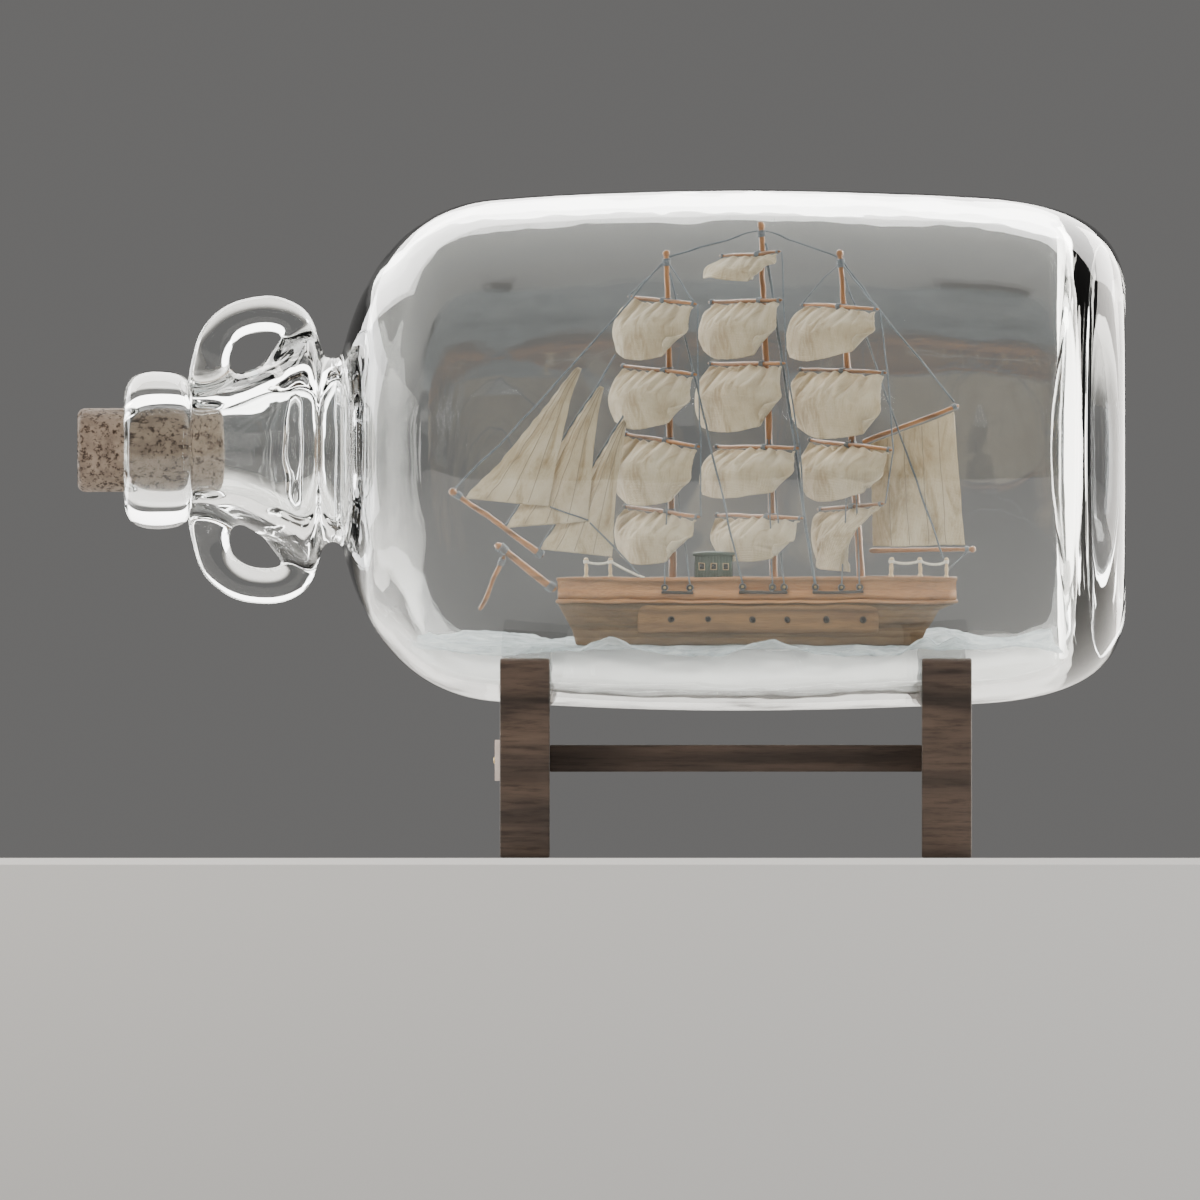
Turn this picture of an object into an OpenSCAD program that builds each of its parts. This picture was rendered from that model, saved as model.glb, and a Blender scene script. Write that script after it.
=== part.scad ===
// Ship in a bottle: a three-masted sailing ship on a sheet of sea, in a corked jug on a cradle stand.
// Millimetres, +Z up. Origin: underside of the stand, half way along the jug with its cork.
// +X runs from the cork towards the base of the jug. The bow of the ship points along -X.

/* [Jug] */
// Largest outer radius of the jug
jug_r = 78.3; // [65:0.1:94]
// Length of the glass from the mouth to the foot ring
jug_len = 300.5; // [250:0.5:361]
// Thickness of the glass in the body
wall = 4.5; // [3.5:0.1:6]
// Radius of the bore that takes the cork
bore_r = 12.6; // [10.5:0.1:15.2]
// Radius of the collar at the mouth
collar_r = 23.8; // [21:0.1:27]
// Radius of the foot ring that the jug would stand on
foot_r = 45; // [38:0.5:52]
// Radius of the glass rod that forms each ear handle
ear_rod_r = 5; // [4:0.1:6]

/* [Cork] */
// Length of the cork
cork_len = 45.5; // [38:0.5:54]
// Length of the cork that stands out of the mouth
cork_out = 13.9; // [11:0.1:16]
// Radial clearance between the cork and the bore
cork_clear = 0.04; // [0.02:0.01:0.1]

/* [Stand] */
// Height of the cradle boards
board_h = 60; // [50:0.5:62]
// Thickness of each cradle board
board_t = 15; // [12:0.5:18]
// Distance between the middles of the two cradle boards
board_gap = 126.6; // [105:0.1:152]
// Distance of the middle of the stand from the middle of the jug, towards the base
stand_shift = 40.3; // [34:0.1:48]
// Lowest height of the glass above the table
jug_lift = 44.1; // [40:0.1:53]
// Width of wood outside the arc at the top of a cradle board
horn_w = 8; // [6:0.5:12]
// Height of the stretcher
rail_h = 8.1; // [6:0.1:10]
// Thickness of the stretcher
rail_t = 12; // [9:0.5:15]
// Height of the middle of the stretcher above the table
rail_z = 29.9; // [24:0.1:34]
// Depth of the stretcher's tenons
tenon = 5; // [3:0.5:6]
// Clearance between the glass and the cradle arcs
cradle_clear = 0.3; // [0.2:0.05:0.6]
// Width of the name plaque
plaque_w = 42; // [34:1:50]
// Height of the name plaque
plaque_h = 12.3; // [10:0.1:15]
// Thickness of the name plaque
plaque_t = 1.5; // [1:0.1:2]

/* [Ship] */
// Clearance between the main truck and the glass above it
truck_clear = 6.3; // [4:0.1:12]
// Depth of the water line below the axis of the jug, as a share of the inner radius
sea_drop = 0.772; // [0.74:0.002:0.8]
// Half of the beam of the hull
beam = 9.4; // [8:0.1:10]
// Radius of the standing rigging
rope_r = 0.28; // [0.2:0.01:0.4]
// Thickness of the solids of the sails
sail_t = 0.5; // [0.3:0.05:0.8]
// Thickness of the sheet of the sea
sea_t = 0.4; // [0.3:0.05:0.6]
// Gap between the edge of the sea and the glass
sea_gap = 0.4; // [0.2:0.05:0.8]

/* [Hidden] */
$fn = 48;
eps = 0.01;

// ---- places that the pieces share ----
total_len = jug_len + cork_out;
mouth_x = cork_out - total_len / 2;
axis_z = jug_lift + jug_r;
inner_r = jug_r - wall;

// ---- curves ----
function bez(p, t) = pow(1 - t, 3) * p[0] + 3 * t * pow(1 - t, 2) * p[1]
                     + 3 * t * t * (1 - t) * p[2] + pow(t, 3) * p[3];
function curve(p, n) = [for (i = [1:n]) bez(p, i / n)];

// ---- outline of the jug: [distance from the mouth, radius] ----
neck_r = bore_r + 5.4;
waist_at = 62;
waist_r = 27.2;
lip_r = bore_r + 2.7;
shoulder_at = 113;
body_at = shoulder_at - 10;
base_at = jug_len - 32;
shoulder_r = jug_r - 2.7;
heel_at = jug_len - 45.5;
heel_r = jug_r - 2;
belly_at = (shoulder_at + heel_at) / 2;
punt = 11.3;
base_t = 9.9;

outer_line = concat(
    [[0, bore_r + 0.8], [0, lip_r]],
    curve([[0, lip_r], [0.5, collar_r - 1], [5, collar_r], [10, collar_r]], 6),
    curve([[10, collar_r], [15, collar_r], [19.4, collar_r - 1], [19.8, neck_r + 1]], 6),
    [[20.4, neck_r]],
    curve([[22.8, neck_r], [34, neck_r + 2.5], [42, 24], [50, 31]], 6),
    curve([[50, 31], [54, 34.5], [57, 35.5], [58.5, 31]], 5),
    curve([[58.5, 31], [59.5, waist_r], [63.5, waist_r - 0.6], [65.5, waist_r + 2]], 5),
    curve([[65.5, waist_r + 2], [71, 53], [84.5, shoulder_r - 1.5], [shoulder_at, shoulder_r]], 16),
    curve([[shoulder_at, shoulder_r], [shoulder_at + 25, jug_r - 0.6], [belly_at - 22, jug_r],
           [belly_at, jug_r]], 6),
    curve([[belly_at, jug_r], [belly_at + 24, jug_r], [heel_at - 22, heel_r + 1], [heel_at, heel_r]], 6),
    curve([[heel_at, heel_r], [jug_len - 15, heel_r - 1.5], [jug_len, heel_r - 10],
           [jug_len, foot_r + 1.5]], 14),
    curve([[jug_len, foot_r + 1.5], [jug_len, foot_r - 3], [jug_len - 2, foot_r - 5],
           [jug_len - 4, foot_r - 9]], 5),
    curve([[jug_len - 4, foot_r - 9], [jug_len - 8, foot_r - 20], [jug_len - punt, 14],
           [jug_len - punt, 0]], 6));

inner_heel_r = heel_r - wall - 0.5;
floor_at = jug_len - punt - base_t;
inner_line = concat(
    [[0, bore_r + 0.8], [1.2, bore_r], [31, bore_r]],
    curve([[31, bore_r], [38, bore_r], [42, bore_r + 2.2], [47, bore_r + 4]], 5),
    curve([[47, bore_r + 4], [54, bore_r + 6.4], [60, bore_r + 8], [65, bore_r + 10]], 4),
    curve([[65, bore_r + 10], [72, 27], [70, 43], [79.5, 53.5]], 8),
    curve([[79.5, 53.5], [89, 66], [97, shoulder_r - wall - 1],
           [shoulder_at + 1, shoulder_r - wall]], 8),
    curve([[shoulder_at + 1, shoulder_r - wall], [shoulder_at + 25, inner_r - 0.6],
           [belly_at - 22, inner_r], [belly_at, inner_r]], 6),
    curve([[belly_at, inner_r], [belly_at + 24, inner_r], [heel_at - 26, inner_heel_r + 1],
           [heel_at - 4, inner_heel_r]], 6),
    curve([[heel_at - 4, inner_heel_r], [jug_len - 24, inner_heel_r - 2],
           [jug_len - 13, inner_heel_r - 5], [jug_len - 13.5, inner_heel_r - 15]], 10),
    curve([[jug_len - 13.5, inner_heel_r - 15], [jug_len - 14, inner_heel_r - 32], [floor_at, 22],
           [floor_at, 0]], 8));

function glass_out(x) = lookup(x - mouth_x,
    [for (p = outer_line) if (p[0] > 66 && p[1] > foot_r + 2) p]);
function glass_in(x) = lookup(x - mouth_x, [for (p = inner_line) if (p[0] > 64 && p[1] > 50) p]);

module round_jug(line) {
    translate([mouth_x, 0, axis_z]) rotate([0, 90, 0]) rotate_extrude($fn = 96)
        polygon([for (p = line) [p[1], p[0]]]);
}

// The glass is one blown piece. Flat rings part it here into neck, shoulder, body and base
module jug_part(from, to) {
    inner_back = [for (i = [len(inner_line) - 1:-1:1]) inner_line[i]];
    reach = jug_r + 1;
    color([0.8, 0.86, 0.86, 0.3]) intersection() {
        round_jug(concat(outer_line, inner_back));
        translate([mouth_x + from, -reach, axis_z - reach]) cube([to - from, 2 * reach, 2 * reach]);
    }
}
module jug_neck() {
    jug_part(-1, waist_at);
}
module jug_shoulder() {
    jug_part(waist_at, body_at);
}
module jug_body() {
    jug_part(body_at, base_at);
}
module jug_base() {
    jug_part(base_at, jug_len + 1);
}

// ---- swept tubes: rings of points closed by flat ends ----
function ring_point(c, side, up, r, a) = c + r * cos(a) * side + r * sin(a) * up;
module tube_mesh(rings) {
    n = len(rings[0]);
    m = len(rings);
    pts = [for (ring = rings) for (p = ring) p];
    sides = [for (j = [0:m - 2]) for (i = [0:n - 1]) [j * n + i, j * n + (i + 1) % n,
             (j + 1) * n + (i + 1) % n, (j + 1) * n + i]];
    polyhedron(points = pts, faces = concat([[for (i = [n - 1:-1:0]) i]], sides,
               [[for (i = [0:n - 1]) (m - 1) * n + i]]), convexity = 6);
}

// The ear's middle line: [distance from the mouth, radius], from the neck over the gap to the flare
ear_line = concat([[26.4, neck_r - 1.5]],
    curve([[26.4, neck_r - 1.5], [24, 32], [29, 40.5], [42.5, 40.8]], 10),
    curve([[42.5, 40.8], [53, 41], [54.5, 33], [50.5, 26.5]], 9));
module ear() {
    n = len(ear_line);
    rings = [for (j = [0:n - 1])
        let (a = ear_line[max(j - 1, 0)], b = ear_line[min(j + 1, n - 1)], d = (b - a) / norm(b - a),
             c = [ear_line[j][0], 0, ear_line[j][1]])
        [for (i = [0:13]) ring_point(c, [-d[1], 0, d[0]], [0, -1, 0], ear_rod_r, i * 360 / 14)]];
    translate([mouth_x, 0, 0]) tube_mesh(rings);
}
module upper_ear_handle() {
    color([0.8, 0.86, 0.86, 0.3]) translate([0, 0, axis_z]) ear();
}
module lower_ear_handle() {
    color([0.8, 0.86, 0.86, 0.3]) translate([0, 0, axis_z]) mirror([0, 0, 1]) ear();
}

// ---- cork: a cylinder with rounded ends ----
module cork() {
    cr = bore_r - cork_clear;
    soft = 1.6;
    color([0.55, 0.45, 0.35]) translate([mouth_x - cork_out, 0, axis_z]) rotate([0, 90, 0])
        rotate_extrude() polygon(concat([[0, 0], [cr - soft, 0]],
            [for (a = [30:30:90]) [cr - soft + soft * sin(a), soft - soft * cos(a)]],
            [for (a = [0:30:90]) [cr - soft + soft * cos(a), cork_len - soft + soft * sin(a)]],
            [[0, cork_len]]));
}

// ---- stand: two boards with concave arcs, a stretcher between them and a plaque ----
board_x = [stand_shift - board_gap / 2, stand_shift + board_gap / 2];
function board_arc(x) = max([for (s = [-1:0.25:1]) glass_out(x + s * board_t / 2)]) + cradle_clear;
function chord(x) = sqrt(pow(board_arc(x), 2) - pow(axis_z - board_h, 2));
corner = 1.2;
mortise_clear = 0.05;
module rail_block(length, clear) {
    cube([length, rail_t - 4 + 2 * clear, rail_h - 3 + 2 * clear], center = true);
}
module cradle_board(x) {
    half_w = chord(x) + horn_w;
    color([0.3, 0.22, 0.17]) difference() {
        translate([x - board_t / 2, 0, 0]) rotate([90, 0, 90]) linear_extrude(board_t)
            polygon([[-half_w, 0], [half_w, 0], [half_w, board_h - corner], [half_w - corner, board_h],
                     [corner - half_w, board_h], [-half_w, board_h - corner]]);
        translate([x - board_t, 0, axis_z]) rotate([0, 90, 0])
            cylinder(h = 2 * board_t, r = board_arc(x), $fn = 128);
        inside = x < stand_shift ? x + board_t / 2 : x - board_t / 2;
        translate([inside, 0, rail_z]) rail_block(2 * tenon + 0.4, mortise_clear);
    }
}
module left_cradle_board() {
    cradle_board(board_x[0]);
}
module right_cradle_board() {
    cradle_board(board_x[1]);
}
module stretcher() {
    span = board_gap - board_t;
    color([0.26, 0.19, 0.15]) translate([stand_shift, 0, rail_z]) union() {
        cube([span, rail_t, rail_h], center = true);
        rail_block(span + 2 * tenon, 0);
    }
}
plaque_face = board_x[0] - board_t / 2;
pin_r = 0.6;
pin_clear = 0.02;
module pin_places() {
    for (s = [-1, 1]) translate([plaque_face - plaque_t, s * (plaque_w / 2 - 3), rail_z - 0.6])
        rotate([0, 90, 0]) children();
}
module name_plaque() {
    color([0.86, 0.8, 0.74]) difference() {
        translate([plaque_face - plaque_t, -plaque_w / 2, rail_z - 0.6 - plaque_h / 2])
            cube([plaque_t, plaque_w, plaque_h]);
        pin_places() translate([0, 0, -eps]) cylinder(h = plaque_t + 1, r = pin_r + pin_clear);
    }
}
module plaque_pins() {
    color([0.75, 0.6, 0.3]) pin_places() union() {
        cylinder(h = plaque_t + 3, r = pin_r);
        translate([0, 0, -0.4]) cylinder(h = 0.4, r = 1.1);
    }
}

// ---- ship: built at its own size and scaled to the room in the jug ----
// Ship frame: x along the keel with the bow at -x, z up from the water line.
bow_x = -59;
stern_x = 61;
boom_tip = [-89, 0, 44.5];
truck_z = 124.5;
rig_room = inner_r - truck_clear + sea_drop * inner_r;
room_len = jug_len - 88.5;
ship_k = min(rig_room / truck_z, room_len / 212);
ship_at = [mouth_x + shoulder_at + (heel_at - shoulder_at) / 2 + 5.2, 0, axis_z - sea_drop * inner_r];
module at_ship() {
    translate(ship_at) scale(ship_k) children();
}

// ---- shapes that repeat in the ship ----
module rod(a, b, ra, rb) {
    d = b - a;
    translate(a) rotate([0, acos(d[2] / norm(d)), atan2(d[1], d[0])])
        cylinder(h = norm(d), r1 = ra, r2 = rb, $fn = 24);
}
module rope(points, r = rope_r) {
    for (i = [0:len(points) - 2]) rod(points[i], points[i + 1], r, r);
    for (i = [1:1:len(points) - 2]) translate(points[i]) sphere(r = r * 1.02, $fn = 16);
}
// A spar is thickest in the middle and tapers to both ends
module spar(a, b, r) {
    d = b - a;
    len = norm(d);
    translate(a) rotate([0, acos(d[2] / len), atan2(d[1], d[0])]) rotate_extrude($fn = 24)
        polygon([[0, 0], [0.6 * r, 0], [r, len / 2], [0.6 * r, len], [0, len]]);
}
// A rope that bends: an eight-sided tube along its points, never parallel to the reference direction
module bent_rope(points, r, ref = [0, 0, 1]) {
    n = len(points);
    tube_mesh([for (j = [0:n - 1])
        let (d = points[min(j + 1, n - 1)] - points[max(j - 1, 0)], side = cross(d, ref),
             across = side / norm(side), up = cross(across, d) / norm(d))
        [for (i = [0:7]) ring_point(points[j], across, up, r, i * 45)]]);
}

// ---- hull: level outlines between the stem and the transom ----
top_z = 18.9;
strake_z = 11.1;
bottom_z = -1.5;
function half_breadth(t) = t < 0.3 ? pow(sin(90 * t / 0.3), 0.75)
                           : t > 0.72 ? 1 - 0.42 * pow((t - 0.72) / 0.28, 2) : 1;
station = [0.006, 0.02, 0.05, 0.09, 0.14, 0.2, 0.26, 0.32, 0.5, 0.72, 0.8, 0.88, 0.94, 1];
function plan(x0, x1, b) = concat([[x0, 0]],
    [for (t = station) [x0 + (x1 - x0) * t, -b * half_breadth(t)]],
    [for (i = [len(station) - 1:-1:0]) [x0 + (x1 - x0) * station[i], b * half_breadth(station[i])]]);
// Each level of the lower hull: height, stem, transom and share of the beam
level = [[bottom_z, bow_x + 5.5, stern_x - 11, 0.72], [2.4, bow_x + 4.6, stern_x - 9.5, 0.87],
         [9, bow_x + 1, stern_x - 5.4, 0.97], [strake_z, bow_x, stern_x, 1]];
module hull_loft(grow) {
    tube_mesh([for (v = level) [for (p = plan(v[1] - grow, v[2] + grow, v[3] * beam + grow))
               [p[0], p[1], v[0]]]]);
}
module hull_plan(grow) {
    polygon(plan(bow_x - grow, stern_x + grow, beam + grow));
}
module lower_hull() {
    color([0.36, 0.33, 0.22]) at_ship() hull_loft(0);
}
deck_drop = 1.6;
bulwark_t = 0.9;
module upper_strake() {
    color([0.72, 0.48, 0.28]) at_ship() difference() {
        translate([0, 0, strake_z]) linear_extrude(top_z - strake_z) hull_plan(0);
        translate([0, 0, top_z - deck_drop]) linear_extrude(deck_drop + 1) hull_plan(-bulwark_t);
    }
}
module deck() {
    deck_t = 0.5;
    color([0.62, 0.45, 0.27]) at_ship() translate([0, 0, top_z - deck_drop]) linear_extrude(deck_t)
        hull_plan(-bulwark_t);
}
rub_t = 0.45;
module rubbing_strake() {
    color([0.85, 0.6, 0.36]) at_ship() translate([0, 0, strake_z]) linear_extrude(1.1) difference() {
        hull_plan(rub_t);
        hull_plan(0);
    }
}
panel_t = 0.4;
panel_zs = [2.4, 5.7, 9, 10.4];
panel_ts = [0.2, 0.26, 0.32, 0.5, 0.72, 0.8];
function at_level(i, z) = lookup(z, [for (v = level) [v[0], v[i]]]);
function hull_point(t, z, grow) = [at_level(1, z) + (at_level(2, z) - at_level(1, z)) * t,
                                   -at_level(3, z) * beam * half_breadth(t) - grow, z];
module side_panel() {
    slab([for (z = panel_zs) for (t = panel_ts) hull_point(t, z, 0)],
         [for (z = panel_zs) for (t = panel_ts) hull_point(t, z, panel_t)],
         len(panel_ts) - 1, len(panel_zs) - 1);
}
module side_panels() {
    color([0.33, 0.31, 0.2]) at_ship() union() {
        side_panel();
        mirror([0, 1, 0]) side_panel();
    }
}
deck_z = top_z - deck_drop + 0.5;
module deck_house() {
    color([0.25, 0.3, 0.26]) at_ship() union() {
        translate([-18, -3.6, deck_z]) cube([11.4, 7.2, 26 - deck_z - 0.8]);
        translate([-18.6, -4.2, 25.2]) cube([12.6, 8.4, 0.9]);
    }
}
porthole_x = [-25, -14, -0.5, 10, 22, 33];
module portholes() {
    color([0.12, 0.1, 0.08]) at_ship() for (x = porthole_x) for (s = [-1, 1])
        translate([x, s * (beam * 0.93), 6.3]) rotate([90, 0, 0])
            cylinder(h = 1.7, r = 0.9, center = true, $fn = 24);
}

// ---- rails: turned posts with a slack rope between them ----
post_r = 0.5;
module rail_post(x, y, h) {
    translate([x, y, top_z]) cylinder(h = h, r = post_r, $fn = 20);
    translate([x, y, top_z + h]) sphere(r = post_r * 1.3, $fn = 20);
}
function side_y(x) = beam * half_breadth((x - bow_x) / (stern_x - bow_x)) - bulwark_t / 2;
bow_posts = [-50.5, -43];
stern_posts = [41.5, 50, 58];
post_h = 5.2;
module rail_posts(places) {
    for (s = [-1, 1]) for (x = places) rail_post(x, s * side_y(x), post_h);
}
module bow_rail_posts() {
    color([0.8, 0.66, 0.45]) at_ship() rail_posts(bow_posts);
}
module stern_rail_posts() {
    color([0.8, 0.66, 0.45]) at_ship() rail_posts(stern_posts);
}
// The points of a rope that sags between two places
function slack(a, b, sag) = [for (t = [0:0.25:1]) a + (b - a) * t - [0, 0, 4 * sag * t * (1 - t)]];
function rail_point(x, s, z = 23.4) = [x, s * side_y(x), z];
rail_rope_r = 0.3;
module rail_ropes() {
    color([0.8, 0.78, 0.72]) at_ship() union() {
        for (s = [-1, 1]) {
            bent_rope(slack(rail_point(-50.5, s), rail_point(-43.3, s), 0.6), rail_rope_r);
            bent_rope(slack(rail_point(-42.7, s), rail_point(-33, s, top_z), 0.4), rail_rope_r);
            bent_rope(slack(rail_point(41.5, s), rail_point(49.7, s), 0.9), rail_rope_r);
            bent_rope(slack(rail_point(50.3, s), rail_point(57.7, s), 0.9), rail_rope_r);
        }
        bent_rope(slack([58.2, 4.3, 23.4], [58.2, -4.3, 23.4], 0.6), rail_rope_r);
    }
}

// ---- channels: bars along the side that spread the shrouds, with a deadeye for each shroud ----
channel_bars = [[-28, -18.5], [-4.5, 10], [17.6, 33.2]];
deadeye_x = [-27, -19.5, -3.5, 5.5, 9, 18.5, 26.5, 32];
channel_w = 1.5;
module channels() {
    color([0.2, 0.17, 0.14]) at_ship() for (c = channel_bars) for (s = [-1, 1])
        translate([c[0], s > 0 ? beam : -beam - channel_w, 14]) cube([c[1] - c[0], channel_w, 0.9]);
}
eye_y = beam + channel_w / 2;
module deadeyes() {
    color([0.3, 0.22, 0.15]) at_ship() for (x = deadeye_x) for (s = [-1, 1])
        translate([x, s * eye_y, 15.9]) rotate([90, 0, 0])
            cylinder(h = 1, r = 1, center = true, $fn = 24);
}

// ---- spars: masts lean slightly, yards are braced half way round, their near ends aft ----
// Each mast: foot and truck in the ship frame
fore = [[-24.5, 0, deck_z], [-26.4, 0, 116]];
main = [[6, 0, deck_z], [2.1, 0, truck_z]];
mizzen = [[32.5, 0, deck_z], [26.1, 0, 116]];
mast_r = 1.25;
yard_r = 0.62;
function mast_x(m, z) = m[0][0] + (m[1][0] - m[0][0]) * (z - m[0][2]) / (m[1][2] - m[0][2]);
// A yard passes in front of its mast, so its middle line stands off by both radii
stand_off = (mast_r + yard_r + 0.05) / sqrt(2);
function yard_point(m, x, z) = [x, mast_x(m, z) - 2 * stand_off - x, z];
// Each yard: far end, its height, near end, its height
fore_yard = [[-38, 103, -17.5, 100.5], [-40, 82.5, -17.5, 79.5], [-39.5, 62, -16.5, 58],
             [-39.5, 40, -16.5, 37]];
main_yard = [[-10.5, 115.5, 8, 116], [-13.5, 101.5, 8.5, 102], [-14, 83, 9.5, 83],
             [-12, 58, 13.5, 57.5], [-12, 37.5, 15, 36.5]];
mizzen_yard = [[14, 101, 37.5, 99], [13.5, 81.5, 40, 80], [16.5, 60, 41.5, 57], [19.5, 39, 39, 41]];
function far_end(m, y) = yard_point(m, y[0], y[1]);
function near_end(m, y) = yard_point(m, y[2], y[3]);
module mast(m) {
    color([0.66, 0.42, 0.22]) at_ship() union() {
        rod(m[0], m[1], mast_r, mast_r * 0.65);
        translate(m[1]) sphere(r = 1.1, $fn = 20);
    }
}
module yards(m, list) {
    color([0.62, 0.4, 0.22]) at_ship() for (y = list) spar(far_end(m, y), near_end(m, y), yard_r);
}
module fore_mast() {
    mast(fore);
}
module main_mast() {
    mast(main);
}
module mizzen_mast() {
    mast(mizzen);
}
module fore_yards() {
    yards(fore, fore_yard);
}
module main_yards() {
    yards(main, main_yard);
}
module mizzen_yards() {
    yards(mizzen, mizzen_yard);
}
module bowsprit() {
    color([0.66, 0.42, 0.22]) at_ship() rod([-59.6, 0, 14.5], [-77.5, 0, 28.8], 1.35, 1);
}
module jib_boom() {
    color([0.66, 0.42, 0.22]) at_ship() union() {
        rod([-63.5, 0, 25], boom_tip, 1, 0.7);
        translate(boom_tip) sphere(r = 1.2, $fn = 20);
    }
}
module martingale() {
    color([0.62, 0.42, 0.24]) at_ship() rod([-75, 0, 25.2], [-81.5, 0, 9], 0.7, 0.5);
}
gaff_jaw = [32.8, 0, 59.2];
gaff_peak = [61.8, 0, 70.4];
boom_jaw = [35, 0, 26.8];
boom_end = [66.5, 0, 27.3];
module gaff() {
    color([0.66, 0.42, 0.22]) at_ship() rod(gaff_jaw, gaff_peak, 0.8, 0.6);
}
module spanker_boom() {
    color([0.66, 0.42, 0.22]) at_ship() union() {
        rod(boom_jaw, boom_end, 0.8, 0.6);
        translate(boom_end) sphere(r = 1, $fn = 20);
    }
}
// Lashings: turns of thread around the spars where they cross or meet
lash_t = 0.28;
module lashing(p, q, r, n) {
    d = (q - p) / norm(q - p);
    translate(p) rotate([0, acos(d[2]), atan2(d[1], d[0])]) for (i = [0:n - 1])
        translate([0, 0, i * 0.62]) rotate_extrude($fn = 24) translate([r + lash_t, 0])
            circle(r = lash_t, $fn = 14);
}
module lashings() {
    color([0.36, 0.4, 0.45]) at_ship() union() {
        for (m = [fore, main, mizzen]) lashing([mast_x(m, m[1][2] - 4), 0, m[1][2] - 4], m[1], 0.86, 5);
        lashing([-74.5, 0, 26.4], [-77.5, 0, 28.8], 1.15, 4);
        lashing([-60.3, 0, 15.1], [-77.5, 0, 28.8], 1.4, 4);
    }
}

// ---- sails: thin curved slabs, hung between corners and blown out by the wind ----
module slab(front, back, nu, nv) {
    w = nu + 1;
    k = w * (nv + 1);
    f = [for (j = [0:nv - 1]) for (i = [0:nu - 1]) for (q = [[0, 1, w], [1, w + 1, w]])
         [for (o = q) j * w + i + o]];
    b = [for (t = f) [t[2] + k, t[1] + k, t[0] + k]];
    rim = concat([for (i = [0:nu - 1]) [i, i + 1]],
                 [for (j = [0:nv - 1]) [nu + j * w, nu + (j + 1) * w]],
                 [for (i = [nu:-1:1]) [nv * w + i, nv * w + i - 1]],
                 [for (j = [nv:-1:1]) [j * w, (j - 1) * w]]);
    edge = [for (e = rim) for (t = [[e[1], e[0], e[0] + k], [e[1], e[0] + k, e[1] + k]]) t];
    polyhedron(points = concat(front, back), faces = concat(f, b, edge), convexity = 6);
}
wind = [-1, -1, 0] / sqrt(2);
// A sail point: between head corners a, b and foot corners c, d, pushed out by the depth of its belly
function sail_point(a, b, c, d, depth, side, u, v) =
    (1 - v) * ((1 - u) * a + u * b) + v * ((1 - u) * c + u * d)
    + side * depth * sin(180 * pow(v, 0.8)) * (0.25 + 0.75 * sin(180 * u));
module sail(a, b, c, d, depth, side) {
    nu = 6;
    nv = 6;
    lay = [for (j = [0:nv]) for (i = [0:nu]) sail_point(a, b, c, d, depth, side, i / nu, j / nv)];
    color([0.86, 0.82, 0.72]) at_ship() slab([for (p = lay) p + side * sail_t / 2],
        [for (p = lay) p - side * sail_t / 2], nu, nv);
}
// A square sail hangs under its yard: the foot corners stand this far out in front of the yard's plane
bend_gap = yard_r + sail_t;
module square_sail(m, y, foot, depth) {
    drop = [0, 0, -bend_gap];
    inset = 1;
    fly = 2.4 * wind;
    sail(yard_point(m, y[0] + inset, y[1]) + drop, yard_point(m, y[2] - inset, y[3]) + drop,
         yard_point(m, foot[0], foot[1]) + fly, yard_point(m, foot[2], foot[3]) + fly, depth, wind);
}
module fore_royal() {
    square_sail(fore, fore_yard[0], [-39.5, 86.5, -20, 87], 5);
}
module fore_topgallant() {
    square_sail(fore, fore_yard[1], [-40, 65.5, -19, 67], 5.5);
}
module fore_topsail() {
    square_sail(fore, fore_yard[2], [-39, 43, -19, 43.5], 5.5);
}
module fore_course() {
    square_sail(fore, fore_yard[3], [-38.5, 25, -19, 25], 4);
}
module main_skysail() {
    square_sail(main, main_yard[0], [-13.5, 109, 5.5, 107], 2.5);
}
module main_royal() {
    square_sail(main, main_yard[1], [-13.5, 87, 7.5, 87], 5);
}
module main_topgallant() {
    square_sail(main, main_yard[2], [-14, 64, 10, 66], 5.5);
}
module main_topsail() {
    square_sail(main, main_yard[3], [-13.5, 43.5, 12.5, 45.5], 5);
}
module main_course() {
    square_sail(main, main_yard[4], [-9.5, 26, 11.5, 25], 4);
}
module mizzen_royal() {
    square_sail(mizzen, mizzen_yard[0], [13, 85, 37, 88], 5);
}
module mizzen_topgallant() {
    square_sail(mizzen, mizzen_yard[1], [15, 64, 39, 62.5], 5);
}
module mizzen_topsail() {
    square_sail(mizzen, mizzen_yard[2], [18, 43, 38, 46], 5);
}
module crossjack() {
    square_sail(mizzen, mizzen_yard[3], [21, 24, 32, 22], 2.5);
}
// Fore-and-aft sails hang on a stay or a spar, so their head can be a point
head_w = 1.2;
lee = [0, -1, 0];
module jib(head, tack, clew, depth) {
    sail(head, head + [head_w, 0, -0.6], tack, clew, depth, lee);
}
jib_head = [[-53, 0, 81.8], [-46.4, 0, 76.4], [-39.3, 0, 66]];
jib_tack = [[-85.4, 0, 42.2], [-74.4, 0, 33.6], [-64.4, 0, 27]];
// Each jib is sheeted to the near side, so that it passes in front of the next one's stay
jib_clew = [[-61.8, -5, 40], [-49.8, -5, 35.4], [-42.6, -5, 25]];
module flying_jib() {
    jib(jib_head[0], jib_tack[0], jib_clew[0], 1.5);
}
module outer_jib() {
    jib(jib_head[1], jib_tack[1], jib_clew[1], 1.5);
}
module inner_jib() {
    jib(jib_head[2], jib_tack[2], jib_clew[2], 1.5);
}
module spanker() {
    sail([35.2, 0, 58.6], [60.4, 0, 68.4], [36.2, 0, 28.2], [64, 0, 28.6], 2, lee);
}

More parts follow.
